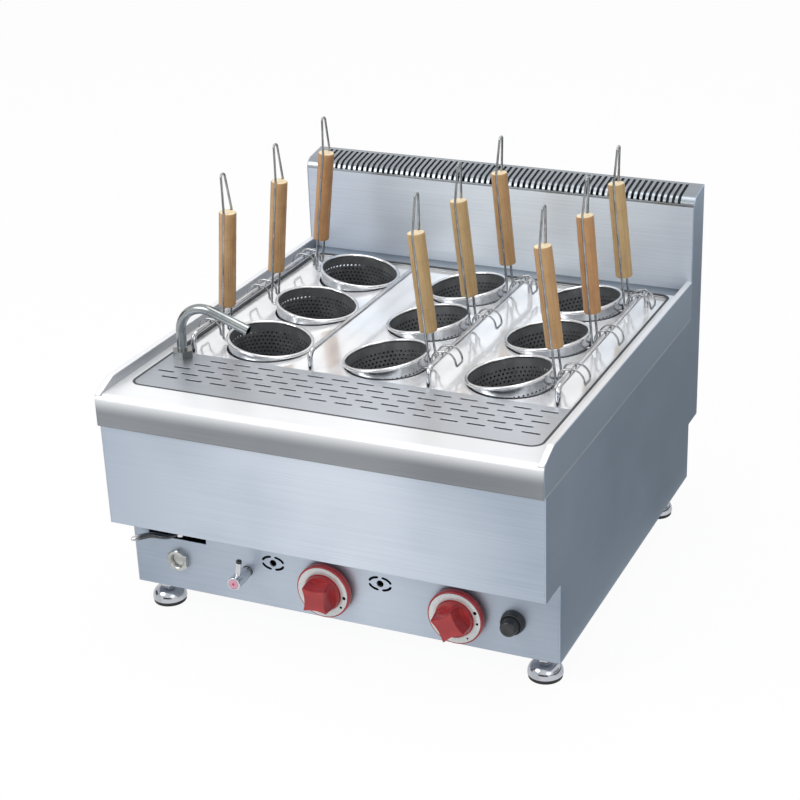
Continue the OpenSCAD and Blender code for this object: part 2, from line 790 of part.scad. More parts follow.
valve_w = 30;
valve_front = 8;
valve_back = 46;
spindle_in = 30;
knob_back = knob_travel + knob_gap;
manifold_back = control_setback + valve_back + gas_pipe_r;
jet_r = 5;
jet_end = 165;

module gas_valves() {
    color(brass) for (side = [-1, 1]) {
        x = side < 0 ? left_knob_x : right_knob_x;
        difference() {
            union() {
                translate([x - valve_w / 2, back(control_setback + valve_front), knob_z - valve_w / 2])
                    cube([valve_w, valve_back - valve_front, valve_w]);
                panel_cylinder(x, knob_z, -valve_front - cut, -sheet, spindle_r + 5);
                y = back(control_setback + valve_front + valve_w / 2);
                bent_rod([[x, y, knob_z], [x, y, burner_z], [side * burner_x, y, burner_z],
                    [side * burner_x, back(jet_end), burner_z]], [12, 12], 2 * jet_r);
            }
            panel_cylinder(x, knob_z, -spindle_in - knob_travel - knob_gap, cut, spindle_r + run_gap);
        }
    }
}

module gas_spindle(x) {
    color(brass) panel_cylinder(x, knob_z, -spindle_in, knob_back + skirt_t + knob_len / 2, spindle_r);
}

module gas_knob(x, angle) {
    color(red) translate([x, back(control_setback), knob_z]) rotate([90, 0, 0]) rotate(angle) difference() {
        union() {
            translate([0, 0, knob_back]) rotate_extrude() polygon([
                [0, 0], [skirt_r, 0], [skirt_r, skirt_t - 3], [skirt_r - 3, skirt_t], [0, skirt_t]]);
            translate([0, 0, knob_back + skirt_t - cut]) cylinder(h = knob_len / 3 + cut, r = knob_r + 1);
            translate([0, 0, knob_back + skirt_t - cut]) intersection() {
                cylinder(h = knob_len + cut, r1 = knob_r, r2 = knob_r - 3);
                translate([0, 0, -1]) linear_extrude(knob_len + 3) polygon([
                    [-knob_tail / 2, -knob_r - 4], [knob_tail / 2, -knob_r - 4],
                    [knob_bar / 2, knob_r + 4], [-knob_bar / 2, knob_r + 4]]);
            }
        }
        translate([0, 0, knob_back - cut])
            cylinder(h = skirt_t + knob_len / 2 + 2 * cut, r = spindle_r + run_gap);
    }
}

module gas_manifold() {
    y = back(manifold_back);
    rear = back(body_d - rear_setback);
    color(steel) {
        bent_rod([[left_knob_x - valve_w, y, knob_z], [inlet_x, y, knob_z], [inlet_x, rear + inlet_len / 2, knob_z]],
            [2 * gas_pipe_r], 2 * gas_pipe_r);
        translate([inlet_x, rear + inlet_len, knob_z]) rotate([90, 0, 0]) cylinder(h = inlet_len, r = inlet_r);
    }
}

burner_front = 172;
burner_back = 530;
burner_t = 2;
port_l = 20;
port_w = 2;
bracket_t = 3;
bracket_w = 0.8 * burner_w;
burner_in = burner_w - 2 * burner_t;

module burners() {
    color(dark_steel) for (side = [-1, 1]) translate([side * burner_x, 0, 0]) {
        difference() {
            union() {
                translate([-burner_w / 2, back(burner_front), burner_z - burner_w / 2])
                    cube([burner_w, burner_back - burner_front, burner_w]);
                for (d = [burner_front + 40, burner_back - 40])
                    translate([-bracket_w / 2, back(d), pan_top]) cube([bracket_w, bracket_t, burner_z - pan_top]);
            }
            translate([-burner_in / 2, back(burner_front + burner_t), burner_z - burner_in / 2])
                cube([burner_in, burner_back - burner_front - 2 * burner_t, burner_in]);
            translate([0, back(burner_front + burner_t + cut), burner_z]) rotate([90, 0, 0])
                cylinder(h = burner_t + 2 * cut, r = burner_w / 4);
            for (i = [0:11]) translate([-port_l / 2, back(burner_front + 30 + i * 27), burner_z])
                cube([port_l, port_w, burner_w / 2 + cut]);
        }
    }
}

// Igniter

igniter_neck_r = 9;
igniter_len = 44;

module igniter_body() {
    color(black) difference() {
        union() {
            panel_cylinder(igniter_x, igniter_z, 0, bezel_t, bezel_r);
            panel_cylinder(igniter_x, igniter_z, -igniter_len, cut, igniter_neck_r);
        }
        panel_cylinder(igniter_x, igniter_z, cut, bezel_t + cut, button_r + run_gap);
    }
}

module igniter_button() {
    seat = cut + button_travel;
    color(black) translate([igniter_x, back(control_setback), igniter_z]) rotate([90, 0, 0]) {
        translate([0, 0, seat]) cylinder(h = bezel_t + button_len - seat - 2, r = button_r);
        translate([0, 0, bezel_t + button_len - 2]) cylinder(h = 2, r1 = button_r, r2 = button_r - 2);
    }
}

// Drain

valve_r = 14;
stem_pin_r = 3.5;
valve_gap = 2;

module drain_valve() {
    y0 = control_setback + sheet + valve_gap;
    pivot = control_setback + pivot_back;
    color(brass) {
        translate([drain_x, back(y0 + 50), drain_z]) rotate([90, 0, 0]) cylinder(h = 50, r = valve_r);
        bent_rod([[drain_x, back(y0 + 40), drain_z], [drain_x, back(drain_y), drain_z],
            [drain_x, back(drain_y), tank_floor_z - sheet]], [24], 2 * drain_hole_r + 4);
        translate([drain_x, back(pivot), drain_z]) cylinder(h = lever_rise + lever_t / 2 + 2, r = stem_pin_r);
        translate([drain_x, back(pivot), drain_z]) cylinder(h = lever_rise - lever_t / 2, r = stem_pin_r + 2.5);
    }
}

module drain_outlet() {
    hex_r = outlet_af / 2 / cos(30);
    color(steel) difference() {
        union() {
            panel_cylinder(drain_x, drain_z, 0, outlet_t, hex_r, 6);
            panel_cylinder(drain_x, drain_z, -sheet - valve_gap, cut, outlet_neck_r);
        }
        panel_cylinder(drain_x, drain_z, -sheet - valve_gap - cut, outlet_t + cut, outlet_bore_r);
    }
}

// Cranked lever: its hub sits behind the panel, its arm runs left in front of it
// Corners of a bent bar's side, a given distance to the left of its middle line
function beside(line, gap) = [for (i = [0:len(line) - 1])
    let (ahead = line[min(i + 1, len(line) - 1)] - line[min(i, len(line) - 2)],
        behind = line[max(i, 1)] - line[max(i - 1, 0)],
        one = [-ahead.y, ahead.x] / norm(ahead),
        two = [-behind.y, behind.x] / norm(behind))
    let (corner = line[i] + (one + two) * gap / (1 + one * two))
    [tidy(corner.x), tidy(corner.y)]];

module drain_lever() {
    hub_r = pivot_back - sheet - 0.5;
    arm_y = pivot_back + lever_w / 2 + 2.5;
    crank = [-arm_y * 0.7, -arm_y];
    elbow = crank + [-lever_arm / 2, 0];
    tip = elbow + [-lever_arm / 2, -lever_arm / 4];
    path = [[0, 0], crank, elbow, tip];
    color(chrome) translate([drain_x, back(control_setback + pivot_back), lever_z - lever_t / 2]) difference() {
        union() {
            cylinder(h = lever_t, r = hub_r);
            linear_extrude(lever_t) polygon(
                concat(beside(path, lever_w / 2), beside(reversed(path), lever_w / 2)));
            translate([tip.x, tip.y, 0]) cylinder(h = lever_t, d = lever_w + 2);
        }
        translate([0, 0, -cut]) cylinder(h = lever_t + 2 * cut, r = stem_pin_r + run_gap);
    }
}

// Water

tap_neck_r = 7;
tap_gap = 0.5;
riser_low = 130;

module water_line() {
    tap_back = control_setback + 42;
    sy = back(spout_y);
    rear = back(body_d - rear_setback);
    color(chrome) {
        union() {
            panel_cylinder(tap_x, tap_z, -42, -sheet, tap_neck_r + 5);
            panel_cylinder(tap_x, tap_z, -sheet - cut, 4, tap_neck_r);
            panel_cylinder(tap_x, tap_z, 3, tap_gap + 8, tap_neck_r - 3);
            bent_rod([[tap_x, back(tap_back - 4), tap_z], [tap_x, sy, tap_z], [tap_x, sy, riser_low],
                [spout_x, sy, riser_low], [spout_x, sy, top_z]], [14, 14, 20], riser_d);
            bent_rod([[tap_x, back(tap_back - 20), tap_z], [supply_x, back(tap_back - 20), tap_z],
                [supply_x, rear + inlet_len / 2, tap_z]], [14], 2 * supply_r);
            translate([supply_x, rear + inlet_len, tap_z]) rotate([90, 0, 0])
                cylinder(h = inlet_len, r = inlet_r);
        }
        translate([spout_x, sy, top_z]) difference() {
            cylinder(h = nut_h, r = nut_af / 2 / cos(30), $fn = 6);
            translate([0, 0, -cut]) cylinder(h = nut_h + 2 * cut, r = spout_d / 2 + run_gap);
        }
    }
}

module tap_handle() {
    color(chrome) difference() {
        union() {
            panel_cylinder(tap_x, tap_z, 4 + tap_gap, 4 + tap_gap + tap_len, tap_r);
            translate([tap_x, back(control_setback) - tap_len + 6, tap_z]) cylinder(h = tap_r + pin_len, r = pin_r);
        }
        panel_cylinder(tap_x, tap_z, 4, tap_gap + 8 + tap_gap, tap_neck_r - 3 + run_gap);
    }
}

module filling_spout() {
    base = [spout_x, back(spout_y), top_z];
    corner_z = spout_h + spout_bend * (1 / cos(spout_dip) - 1) + spout_bend * tan(spout_dip);
    corner = base + [0, 0, corner_z];
    end = corner + spout_reach * [1, 0, -tan(spout_dip)];
    color(chrome) difference() {
        bent_rod([base, corner, end], [spout_bend], spout_d);
        bent_rod([base - [0, 0, cut], corner, end + cut * [1, 0, -tan(spout_dip)]], [spout_bend],
            spout_d - 2 * spout_t);
    }
}

// Feet

module foot(p) {
    bell_h = foot_h - 10;
    color(chrome) translate([p.x, back(p.y), 0]) {
        cylinder(h = pad_h - pad_gap, r = foot_r - 2);
        union() {
            rotate_extrude() polygon(concat(
                [[0, pad_h], [foot_r, pad_h]],
                arc([stem_r + 4, pad_h], foot_r - stem_r - 4, 0, 90, 6),
                [[stem_r + 4, bell_h], [0, bell_h]]));
            translate([0, 0, bell_h - cut]) cylinder(h = foot_h - bell_h + cut, r = stem_r + 4, $fn = 6);
            translate([0, 0, foot_h - cut]) cylinder(h = stem_len + cut, r = stem_r);
        }
    }
}

base_pan();
side_panel(-1);  // left_side_panel
side_panel(1);  // right_side_panel
rear_panel();
front_panel();
control_panel();
worktop();
tank();
deck_plate();
drainer_plate();
basket_rails();
backguard();
flue_grille();
flue_duct();
burners();
gas_manifold();
gas_valves();
gas_spindle(left_knob_x);  // left_gas_spindle
gas_spindle(right_knob_x);  // right_gas_spindle
gas_knob(left_knob_x, left_knob_turn);  // left_gas_knob
gas_knob(right_knob_x, right_knob_turn);  // right_gas_knob
igniter_body();
igniter_button();
drain_valve();
drain_outlet();
drain_lever();
water_line();
tap_handle();
filling_spout();
foot(foot_places[0]);  // front_left_foot
foot(foot_places[1]);  // front_right_foot
foot(foot_places[2]);  // rear_left_foot
foot(foot_places[3]);  // rear_right_foot
bowl(0, 0);  // left_front_bowl
handle(0, 0);  // left_front_handle
grip(0, 0);  // left_front_grip
bowl(0, 1);  // left_middle_bowl
handle(0, 1);  // left_middle_handle
grip(0, 1);  // left_middle_grip
bowl(0, 2);  // left_back_bowl
handle(0, 2);  // left_back_handle
grip(0, 2);  // left_back_grip
bowl(1, 0);  // centre_front_bowl
handle(1, 0);  // centre_front_handle
grip(1, 0);  // centre_front_grip
bowl(1, 1);  // centre_middle_bowl
handle(1, 1);  // centre_middle_handle
grip(1, 1);  // centre_middle_grip
bowl(1, 2);  // centre_back_bowl
handle(1, 2);  // centre_back_handle
grip(1, 2);  // centre_back_grip
bowl(2, 0);  // right_front_bowl
handle(2, 0);  // right_front_handle
grip(2, 0);  // right_front_grip
bowl(2, 1);  // right_middle_bowl
handle(2, 1);  // right_middle_handle
grip(2, 1);  // right_middle_grip
bowl(2, 2);  // right_back_bowl
handle(2, 2);  // right_back_handle
grip(2, 2);  // right_back_grip
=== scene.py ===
import bpy
import bmesh
import math
from mathutils import Matrix, Vector


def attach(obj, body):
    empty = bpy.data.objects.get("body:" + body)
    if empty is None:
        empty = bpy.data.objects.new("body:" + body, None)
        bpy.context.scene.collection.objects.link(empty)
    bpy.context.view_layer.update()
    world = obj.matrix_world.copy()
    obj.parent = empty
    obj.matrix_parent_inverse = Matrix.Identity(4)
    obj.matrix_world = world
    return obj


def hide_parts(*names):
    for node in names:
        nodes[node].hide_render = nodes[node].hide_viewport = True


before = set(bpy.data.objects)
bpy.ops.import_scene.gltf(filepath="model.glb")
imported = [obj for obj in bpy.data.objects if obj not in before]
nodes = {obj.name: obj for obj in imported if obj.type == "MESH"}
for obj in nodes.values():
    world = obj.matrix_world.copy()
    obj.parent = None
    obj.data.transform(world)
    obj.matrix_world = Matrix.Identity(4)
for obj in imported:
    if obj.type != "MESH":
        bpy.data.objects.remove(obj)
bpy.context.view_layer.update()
scene = bpy.context.scene
scene.view_settings.view_transform = "Standard"
mm = 0.001
print("frame loaded,", len(nodes), "nodes")


# Shader sockets with arithmetic

class Wire:
    def __init__(self, board, socket):
        self.board = board
        self.socket = socket

    def math(self, operation, other, swapped=False):
        pair = {0: other, 1: self} if swapped else {0: self, 1: other}
        return self.board.add("ShaderNodeMath", {"operation": operation}, pair)

    def __add__(self, other):
        return self.math("ADD", other)

    def __radd__(self, other):
        return self.math("ADD", other, True)

    def __sub__(self, other):
        return self.math("SUBTRACT", other)

    def __rsub__(self, other):
        return self.math("SUBTRACT", other, True)

    def __mul__(self, other):
        return self.math("MULTIPLY", other)

    def __rmul__(self, other):
        return self.math("MULTIPLY", other, True)

    def __pow__(self, other):
        return self.math("POWER", other)

    def __rpow__(self, other):
        return self.math("POWER", other, True)

    def __abs__(self):
        return self.math("ABSOLUTE", 0.0)

    def __gt__(self, other):
        return self.math("GREATER_THAN", other)

    def __lt__(self, other):
        return self.math("LESS_THAN", other)


class Board:
    def __init__(self, tree):
        self.tree = tree

    def add(self, kind, settings=None, inputs=None, out=0):
        node = self.tree.nodes.new(kind)
        for key, value in (settings or {}).items():
            setattr(node, key, value)
        for key, value in (inputs or {}).items():
            self.feed(node.inputs[key], value)
        return Wire(self, node.outputs[out] if node.outputs else None)

    def feed(self, socket, value):
        if isinstance(value, Wire):
            self.tree.links.new(value.socket, socket)
        elif socket.type == "RGBA" and len(value) == 3:
            socket.default_value = (*value, 1)
        else:
            socket.default_value = value

    def spot(self):
        return self.add("ShaderNodeTexCoord", out="Object")

    def axes(self, vector):
        return [self.add("ShaderNodeSeparateXYZ", None, {0: vector}, out=i) for i in range(3)]

    def stretched(self, vector, scale):
        return self.add("ShaderNodeVectorMath", {"operation": "MULTIPLY"}, {0: vector, 1: scale})

    def noise(self, vector, scale=1.0, detail=2.0, rough=0.5):
        return self.add("ShaderNodeTexNoise", None, {"Vector": vector, "Scale": scale, "Detail": detail,
                                                     "Roughness": rough})

    def eased(self, value, low, high, start=0.0, end=1.0):
        return self.add("ShaderNodeMapRange", {"interpolation_type": "SMOOTHSTEP"},
                        {"Value": value, "From Min": low, "From Max": high, "To Min": start, "To Max": end})

    def mixed(self, factor, first, second):
        return self.add("ShaderNodeMix", {"data_type": "RGBA"}, {0: factor, 6: first, 7: second}, out=2)

    def relief(self, height, strength, depth, edge=0.0):
        inputs = {"Height": height, "Strength": strength, "Distance": depth}
        if edge:
            inputs["Normal"] = self.add("ShaderNodeBevel", {"samples": 4}, {"Radius": edge})
        return self.add("ShaderNodeBump", None, inputs)


class Finish(Board):
    def __init__(self, name):
        self.material = bpy.data.materials.new(name)
        self.material.use_nodes = True
        super().__init__(self.material.node_tree)
        self.shader = self.tree.nodes["Principled BSDF"]

    def wear(self, values):
        for key, value in values.items():
            self.feed(self.shader.inputs[key], value)
        return self.material


# Finishes

steelGrainAndSheen = {"lines": 0.3, "band": 0.6, "bandStart": 0.02, "cloudRough": 0.08, "satinGrain": 0.12,
             "uprightRough": 0.16}


def brushedSteel(name, look):
    f = Finish(name)
    w = steelGrainAndSheen
    spot = f.spot()
    lines = f.noise(f.stretched(spot, look["grain"]), 1.0, 3.0, 0.6)
    cloud = f.noise(spot, look.get("cloudScale", 5.0), 2.0, 0.5)
    tone = f.eased(lines * w["lines"] + cloud * (1 - w["lines"]), 0.3, 0.7)
    if "band" in look:  # painted sheen: a soft lighter band across the sheet, standing in for a reflection, lighter at the middle and darker towards the ends
        middle, reach = look["band"]
        away = abs(f.axes(spot)[0] - middle)
        tone = tone * (1 - w["band"]) + f.eased(away, w["bandStart"], reach, w["band"], 0.0)
    colour = f.mixed(tone, look["shade"], look["tint"])
    spread = look.get("roughSpread", 0.12)
    rough = look["rough"] + (lines - 0.5) * spread + (cloud - 0.5) * w["cloudRough"]
    metal = look.get("metal", 1.0)
    if "upright" in look:  # painted shade and highlight: uprights take darker colours by which way they face, beside a bright flat top
        x, y, z = f.axes(spot)
        normal = f.axes(f.add("ShaderNodeNewGeometry", out="Normal"))
        near, far = look["turned"]
        flat = f.eased(normal[2], 0.35, 0.9)
        outward = f.eased(normal[0] * x, near, far)
        inward = f.eased(normal[0] * x, -far, -near, 1.0, 0.0)
        # painted highlight: the nose turns from a dark upright colour to the bright top colour towards its
        # top
        front = f.mixed(f.eased(z, *look["roll"]), look["upright"], look["tint"])
        # painted shade: the right and left flanks each take their own tone, the left one darker and the right
        # one bluer
        flank = f.mixed(x > 0, look["leftFlankShade"], look["flank"])
        # painted highlight: the bottom edge of each flank turns bright
        flank = f.mixed(f.eased(z, *look["skirtHighlight"], 1.0, 0.0), flank, look["tint"])
        # painted shade: the inner faces of the lips take a mid grey
        satin = f.mixed(inward, f.mixed(outward, front, flank), look["lip"])
        colour = f.mixed(flat, f.mixed(tone * w["satinGrain"], satin, colour), colour)
        start, end = look["ledge"]  # the strip behind the well stands in the backguard's shade
        strip = f.mixed(f.eased(y, start, end), look["ledgeFront"], look["ledgeBack"])
        below = f.eased(z, *look["wellTop"], 1.0, 0.0)
        behind = flat * f.eased(y, start, start + look["ledgeSoft"]) * below
        colour = f.mixed(behind, colour, strip)
        rough = rough + (1 - flat) * w["uprightRough"]
        metal = 1 - flat * (1 - behind) * look["satin"]
    return f.wear({"Base Color": colour, "Roughness": rough, "Metallic": metal,
                   "Normal": f.relief(lines, look.get("relief", 0.08), 0.0004, look.get("edge", 0.0012))})


def brightWire(name, look):
    f = Finish(name)
    spot = f.spot()
    haze = f.noise(spot, look["scale"], 3.0, 0.6)
    fine = f.noise(spot, look["scale"] * 9, 2.0, 0.5)
    colour = f.mixed(f.eased(haze, 0.35, 0.65), look["shade"], look["tint"])
    if "tipHighlight" in look:  # painted highlight: the bar lighter towards one end
        start, end, pale = look["tipHighlight"]
        colour = f.mixed(f.eased(f.axes(spot)[0], end, start, 1.0, 0.0), colour, pale)
    return f.wear({"Base Color": colour, "Metallic": look.get("metal", 1.0),
                   "Roughness": look["rough"] + (fine - 0.5) * 0.12,
                   "Normal": f.relief(fine, 0.05, 0.0002)})


steelLook = {
    "front": {"grain": (5, 700, 700), "tint": (0.67, 0.73, 0.81), "shade": (0.30, 0.36, 0.45), "rough": 0.40,
              "metal": 0.80, "band": (0.01, 0.33), "relief": 0.03},
    # painted shade: a darker copy of the front panel's steel
    "control": {"grain": (5, 700, 700), "tint": (0.56, 0.625, 0.715), "shade": (0.27, 0.32, 0.395),
                "rough": 0.42, "metal": 0.80, "band": (-0.02, 0.32), "relief": 0.03},
    "guard": {"grain": (5, 600, 600), "tint": (0.89, 0.95, 1.0), "shade": (0.44, 0.50, 0.60), "rough": 0.46,
              "metal": 0.45, "band": (0.04, 0.36), "cloudScale": 1.5, "relief": 0.03},
    # painted shade: the right side panel takes a bluer copy of the rear steel
    "side": {"grain": (700, 5, 700), "tint": (0.46, 0.56, 0.68), "shade": (0.36, 0.45, 0.56), "rough": 0.44,
             "metal": 0.75, "relief": 0.03},
    "rear": {"grain": (5, 600, 600), "tint": (0.46, 0.50, 0.56), "shade": (0.36, 0.40, 0.455), "rough": 0.42,
             "metal": 0.75, "relief": 0.03},
    "worktop": {"grain": (6, 300, 300), "tint": (0.90, 0.915, 0.93), "shade": (0.82, 0.84, 0.87),
                "rough": 0.36, "relief": 0.02, "edge": 0.004, "satin": 0.5, "turned": (0.12, 0.24),
                "roll": (0.307, 0.334), "skirtHighlight": (0.2908, 0.2922), "wellTop": (0.334, 0.336),
                "ledge": (0.249, 0.277), "ledgeSoft": 0.0006, "ledgeFront": (0.34, 0.37, 0.40),
                "ledgeBack": (0.16, 0.19, 0.23), "upright": (0.235, 0.250, 0.272),
                "lip": (0.45, 0.47, 0.50), "flank": (0.54, 0.645, 0.77), "leftFlankShade": (0.44, 0.48, 0.54)},
    "deck": {"grain": (90, 90, 90), "tint": (0.97, 0.975, 0.985), "shade": (0.90, 0.91, 0.93), "rough": 0.13,
             "metal": 0.5, "roughSpread": 0.05, "relief": 0.01, "edge": 0.0008},
    "drainer": {"grain": (9, 300, 300), "tint": (0.66, 0.69, 0.74), "shade": (0.40, 0.43, 0.47),
                "rough": 0.42, "roughSpread": 0.1, "relief": 0.03, "edge": 0.0008, "band": (0.27, 0.55)},
    # painted shade: the tank and flue inside are darkened so slots and gaps look dark
    "inside": {"grain": (8, 200, 200), "tint": (0.20, 0.21, 0.22), "shade": (0.14, 0.15, 0.16),
               "rough": 0.40},
    "grille": {"grain": (5, 500, 500), "tint": (0.40, 0.43, 0.46), "shade": (0.28, 0.31, 0.34), "rough": 0.30,
               "edge": 0.0006},
}
steel = {key: brushedSteel(key + "Steel", look) for key, look in steelLook.items()}

wireLook = {
    "wire": {"scale": 60, "tint": (0.40, 0.41, 0.42), "shade": (0.26, 0.27, 0.28), "rough": 0.18},
    "rail": {"scale": 40, "tint": (0.62, 0.63, 0.65), "shade": (0.48, 0.49, 0.51), "rough": 0.13},
    "chrome": {"scale": 30, "tint": (0.70, 0.71, 0.73), "shade": (0.54, 0.55, 0.58), "rough": 0.11},
    "bead": {"scale": 40, "tint": (0.82, 0.83, 0.84), "shade": (0.66, 0.67, 0.69), "rough": 0.15},
    "bowlOut": {"scale": 35, "tint": (0.58, 0.60, 0.62), "shade": (0.42, 0.44, 0.47), "rough": 0.22},
    # painted shade: the basket's inner wall is a darker copy of its outer steel
    "bowlIn": {"scale": 35, "tint": (0.34, 0.355, 0.37), "shade": (0.24, 0.25, 0.26), "rough": 0.36,
               "metal": 0.7},
    "brass": {"scale": 50, "tint": (0.72, 0.52, 0.26), "shade": (0.55, 0.38, 0.18), "rough": 0.30},
    "iron": {"scale": 70, "tint": (0.09, 0.09, 0.095), "shade": (0.05, 0.05, 0.055), "rough": 0.6,
             "metal": 0.4},
    "spout": {"scale": 30, "tint": (0.33, 0.35, 0.355), "shade": (0.23, 0.25, 0.255), "rough": 0.19},
    "lever": {"scale": 50, "tint": (0.115, 0.12, 0.125), "shade": (0.05, 0.053, 0.056), "rough": 0.20,
              "tipHighlight": (-0.044, -0.058, (0.60, 0.61, 0.63))},
    "bell": {"scale": 30, "tint": (0.52, 0.54, 0.58), "shade": (0.34, 0.36, 0.40), "rough": 0.13},
    "outlet": {"scale": 60, "tint": (0.52, 0.53, 0.51), "shade": (0.38, 0.39, 0.375), "rough": 0.30},
    "fitting": {"scale": 60, "tint": (0.259, 0.266, 0.256), "shade": (0.180, 0.187, 0.180), "rough": 0.26},
}
metal = {key: brightWire(key + "Metal", look) for key, look in wireLook.items()}


def mouldedPlastic(name, look):
    f = Finish(name)
    spot = f.spot()
    grain = f.noise(spot, look["scale"], 3.0, 0.6)
    broad = f.noise(spot, look["scale"] * 0.06, 2.0, 0.5)
    colour = f.mixed(f.eased(broad * 0.6 + grain * 0.4, 0.3, 0.7), look["shade"], look["tint"])
    return f.wear({"Base Color": colour, "Roughness": look["rough"] + (grain - 0.5) * 0.15,
                   "Specular IOR Level": look.get("shine", 0.5), "Normal": f.relief(grain, 0.12, 0.0002)})


plasticLook = {
    "blackPlastic": {"scale": 900, "tint": (0.030, 0.032, 0.035), "shade": (0.016, 0.017, 0.019),
                     "rough": 0.38},
    # rubber for the foot pads; the same near black also paints the shade inside the inlet bores
    "rubber": {"scale": 700, "tint": (0.022, 0.022, 0.024), "shade": (0.010, 0.010, 0.011), "rough": 0.70},
    # painted shadow: near black for the strip in the gap round the plates
    "gapShade": {"scale": 500, "tint": (0.055, 0.060, 0.066), "shade": (0.030, 0.033, 0.038), "rough": 0.50},
    "printInk": {"scale": 1200, "tint": (0.004, 0.004, 0.006), "shade": (0.001, 0.001, 0.002), "rough": 0.75,
                 "shine": 0.05},
}
plastic = {key: mouldedPlastic(key, look) for key, look in plasticLook.items()}


# Mesh tools

def lathe(profile, steps=48):
    # rings of (radius, height), closed on the axis where a radius is zero
    verts, faces, rings = [], [], []
    for radius, height in profile:
        if radius < 1e-6:
            rings.append([len(verts)] * steps)
            verts.append((0, 0, height * mm))
            continue
        rings.append(list(range(len(verts), len(verts) + steps)))
        for i in range(steps):
            turn = math.tau * i / steps
            verts.append((radius * mm * math.cos(turn), radius * mm * math.sin(turn), height * mm))
    for low, high in zip(rings, rings[1:]):
        for i in range(steps):
            j = (i + 1) % steps
            corners = [low[i], low[j], high[j], high[i]]
            corners = [v for k, v in enumerate(corners) if v != corners[k - 1]]
            if len(corners) > 2:
                faces.append(corners)
    return verts, faces


def rounded(start, middle, end, radius, steps=5):
    # points of a corner rounded in the profile plane
    a, b, c = Vector(start), Vector(middle), Vector(end)
    first = b + (a - b).normalized() * radius
    last = b + (c - b).normalized() * radius
    parts = [i / steps for i in range(steps + 1)]
    return [tuple(first.lerp(b, t).lerp(b.lerp(last, t), t)) for t in parts]


def bridge(rings, closed=False, caps=False):
    # rings of points joined by quads, and the last ring to the first where closed
    count = len(rings[0])
    verts = [point for ring in rings for point in ring]
    faces = []
    for k in range(len(rings) if closed else len(rings) - 1):
        low, high = k * count, (k + 1) % len(rings) * count
        for i in range(count):
            j = (i + 1) % count
            faces.append((low + i, low + j, high + j, high + i))
    if caps:
        faces += [tuple(range(count))[::-1], tuple(range(len(verts) - count, len(verts)))]
    return verts, faces


def sheetGrid(across, along, point):
    # a sheet of quads, across by along steps
    verts = [point(i, j) for i in range(across + 1) for j in range(along + 1)]
    faces = []
    for i in range(across):
        for j in range(along):
            k = i * (along + 1) + j
            faces.append((k, k + along + 1, k + along + 2, k + 1))
    return verts, faces


def sixSided(levels):
    # a hexagon carried up through (radius, height) levels
    corners = [math.radians(60 * i) for i in range(6)]
    return bridge([[(radius * math.cos(a) * mm, radius * math.sin(a) * mm, height * mm) for a in corners]
                   for radius, height in levels], caps=True)


def makeMesh(name, verts, faces, finishes, sharp=35):
    mesh = bpy.data.meshes.new(name)
    mesh.from_pydata(verts, [], faces)
    for finish in finishes:
        mesh.materials.append(finish)
    work = bmesh.new()
    work.from_mesh(mesh)
    bmesh.ops.recalc_face_normals(work, faces=work.faces)
    work.to_mesh(mesh)
    work.free()
    mesh.shade_smooth()
    mesh.set_sharp_from_angle(angle=math.radians(sharp))
    return mesh


def putPiece(name, mesh, body, matrix=None, stands=()):
    piece = bpy.data.objects.new(name, mesh)
    scene.collection.objects.link(piece)
    if matrix is not None:
        piece.matrix_world = matrix
    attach(piece, body)
    if stands:
        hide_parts(*stands)
    return piece


def shift(x, y, z):
    return Matrix.Translation((x * mm, y * mm, z * mm))


def turn(degrees, axis):
    return Matrix.Rotation(math.radians(degrees), 4, axis)


def dress(names, finish):
    for name in names:
        nodes[name].data.materials.clear()
        nodes[name].data.materials.append(finish)


# Camera, floor and light

cameraSpot = {"azimuth": 23.17, "elevation": 24.29, "roll": -1.32, "place": (0.949, -2.080, 1.250),
              "lens": 82.5, "shift": (-0.075, 0.0125)}


def setCamera():
    a, e, r = (math.radians(cameraSpot[k]) for k in ("azimuth", "elevation", "roll"))
    back = Vector((math.sin(a) * math.cos(e), -math.cos(a) * math.cos(e), math.sin(e)))
    right = Vector((math.cos(a), math.sin(a), 0))
    up = back.cross(right)
    side = math.cos(r) * right + math.sin(r) * up
    top = math.cos(r) * up - math.sin(r) * right
    data = bpy.data.cameras.new("photoCamera")
    data.sensor_fit = "HORIZONTAL"
    data.sensor_width = 36
    data.lens = cameraSpot["lens"]
    data.shift_x, data.shift_y = cameraSpot["shift"]
    camera = bpy.data.objects.new("photoCamera", data)
    scene.collection.objects.link(camera)
    camera.matrix_world = (Matrix.Translation(cameraSpot["place"])
                           @ Matrix((side, top, back)).transposed().to_4x4())
    scene.camera = camera


studio = {"skyLow": 0.50, "skyHigh": 0.72, "white": 1.0, "floorKeep": 0.94, "floorHalf": 6, "floorSteps": 24}
lamps = {
    "keyLamp": {"place": (-1.7, -2.2, 2.3), "aim": (0, 0, 0.25), "size": 1.8, "power": 42},
    "fillLamp": {"place": (2.2, -2.4, 1.7), "aim": (0, 0, 0.25), "size": 2.0, "power": 9},
    "topLamp": {"place": (0.1, 0.2, 2.6), "aim": (0, 0, 0.3), "size": 1.6, "power": 16},
}
cards = {  # dark cards that only show in the bright metal
    "frontCard": {"middle": (0.6, -3.4, 0.55), "wide": 3.6, "tall": 0.9, "facing": 0, "tone": 0.045},
    "rightCard": {"middle": (2.9, 0.4, 1.15), "wide": 3.0, "tall": 0.5, "facing": 90, "tone": 0.10},
    "floorCard": {"middle": (0.96, 0.68, 0.02), "wide": 1.3, "tall": 2.1, "facing": 0, "lying": 90,
                  "tone": 0.12},
    "leftCard": {"middle": (-3.0, -0.6, 0.60), "wide": 1.6, "tall": 1.0, "facing": 90, "tone": 0.10},
}
cardShape = {"across": 8, "up": 4, "ripple": 0.02, "paler": 1.3}


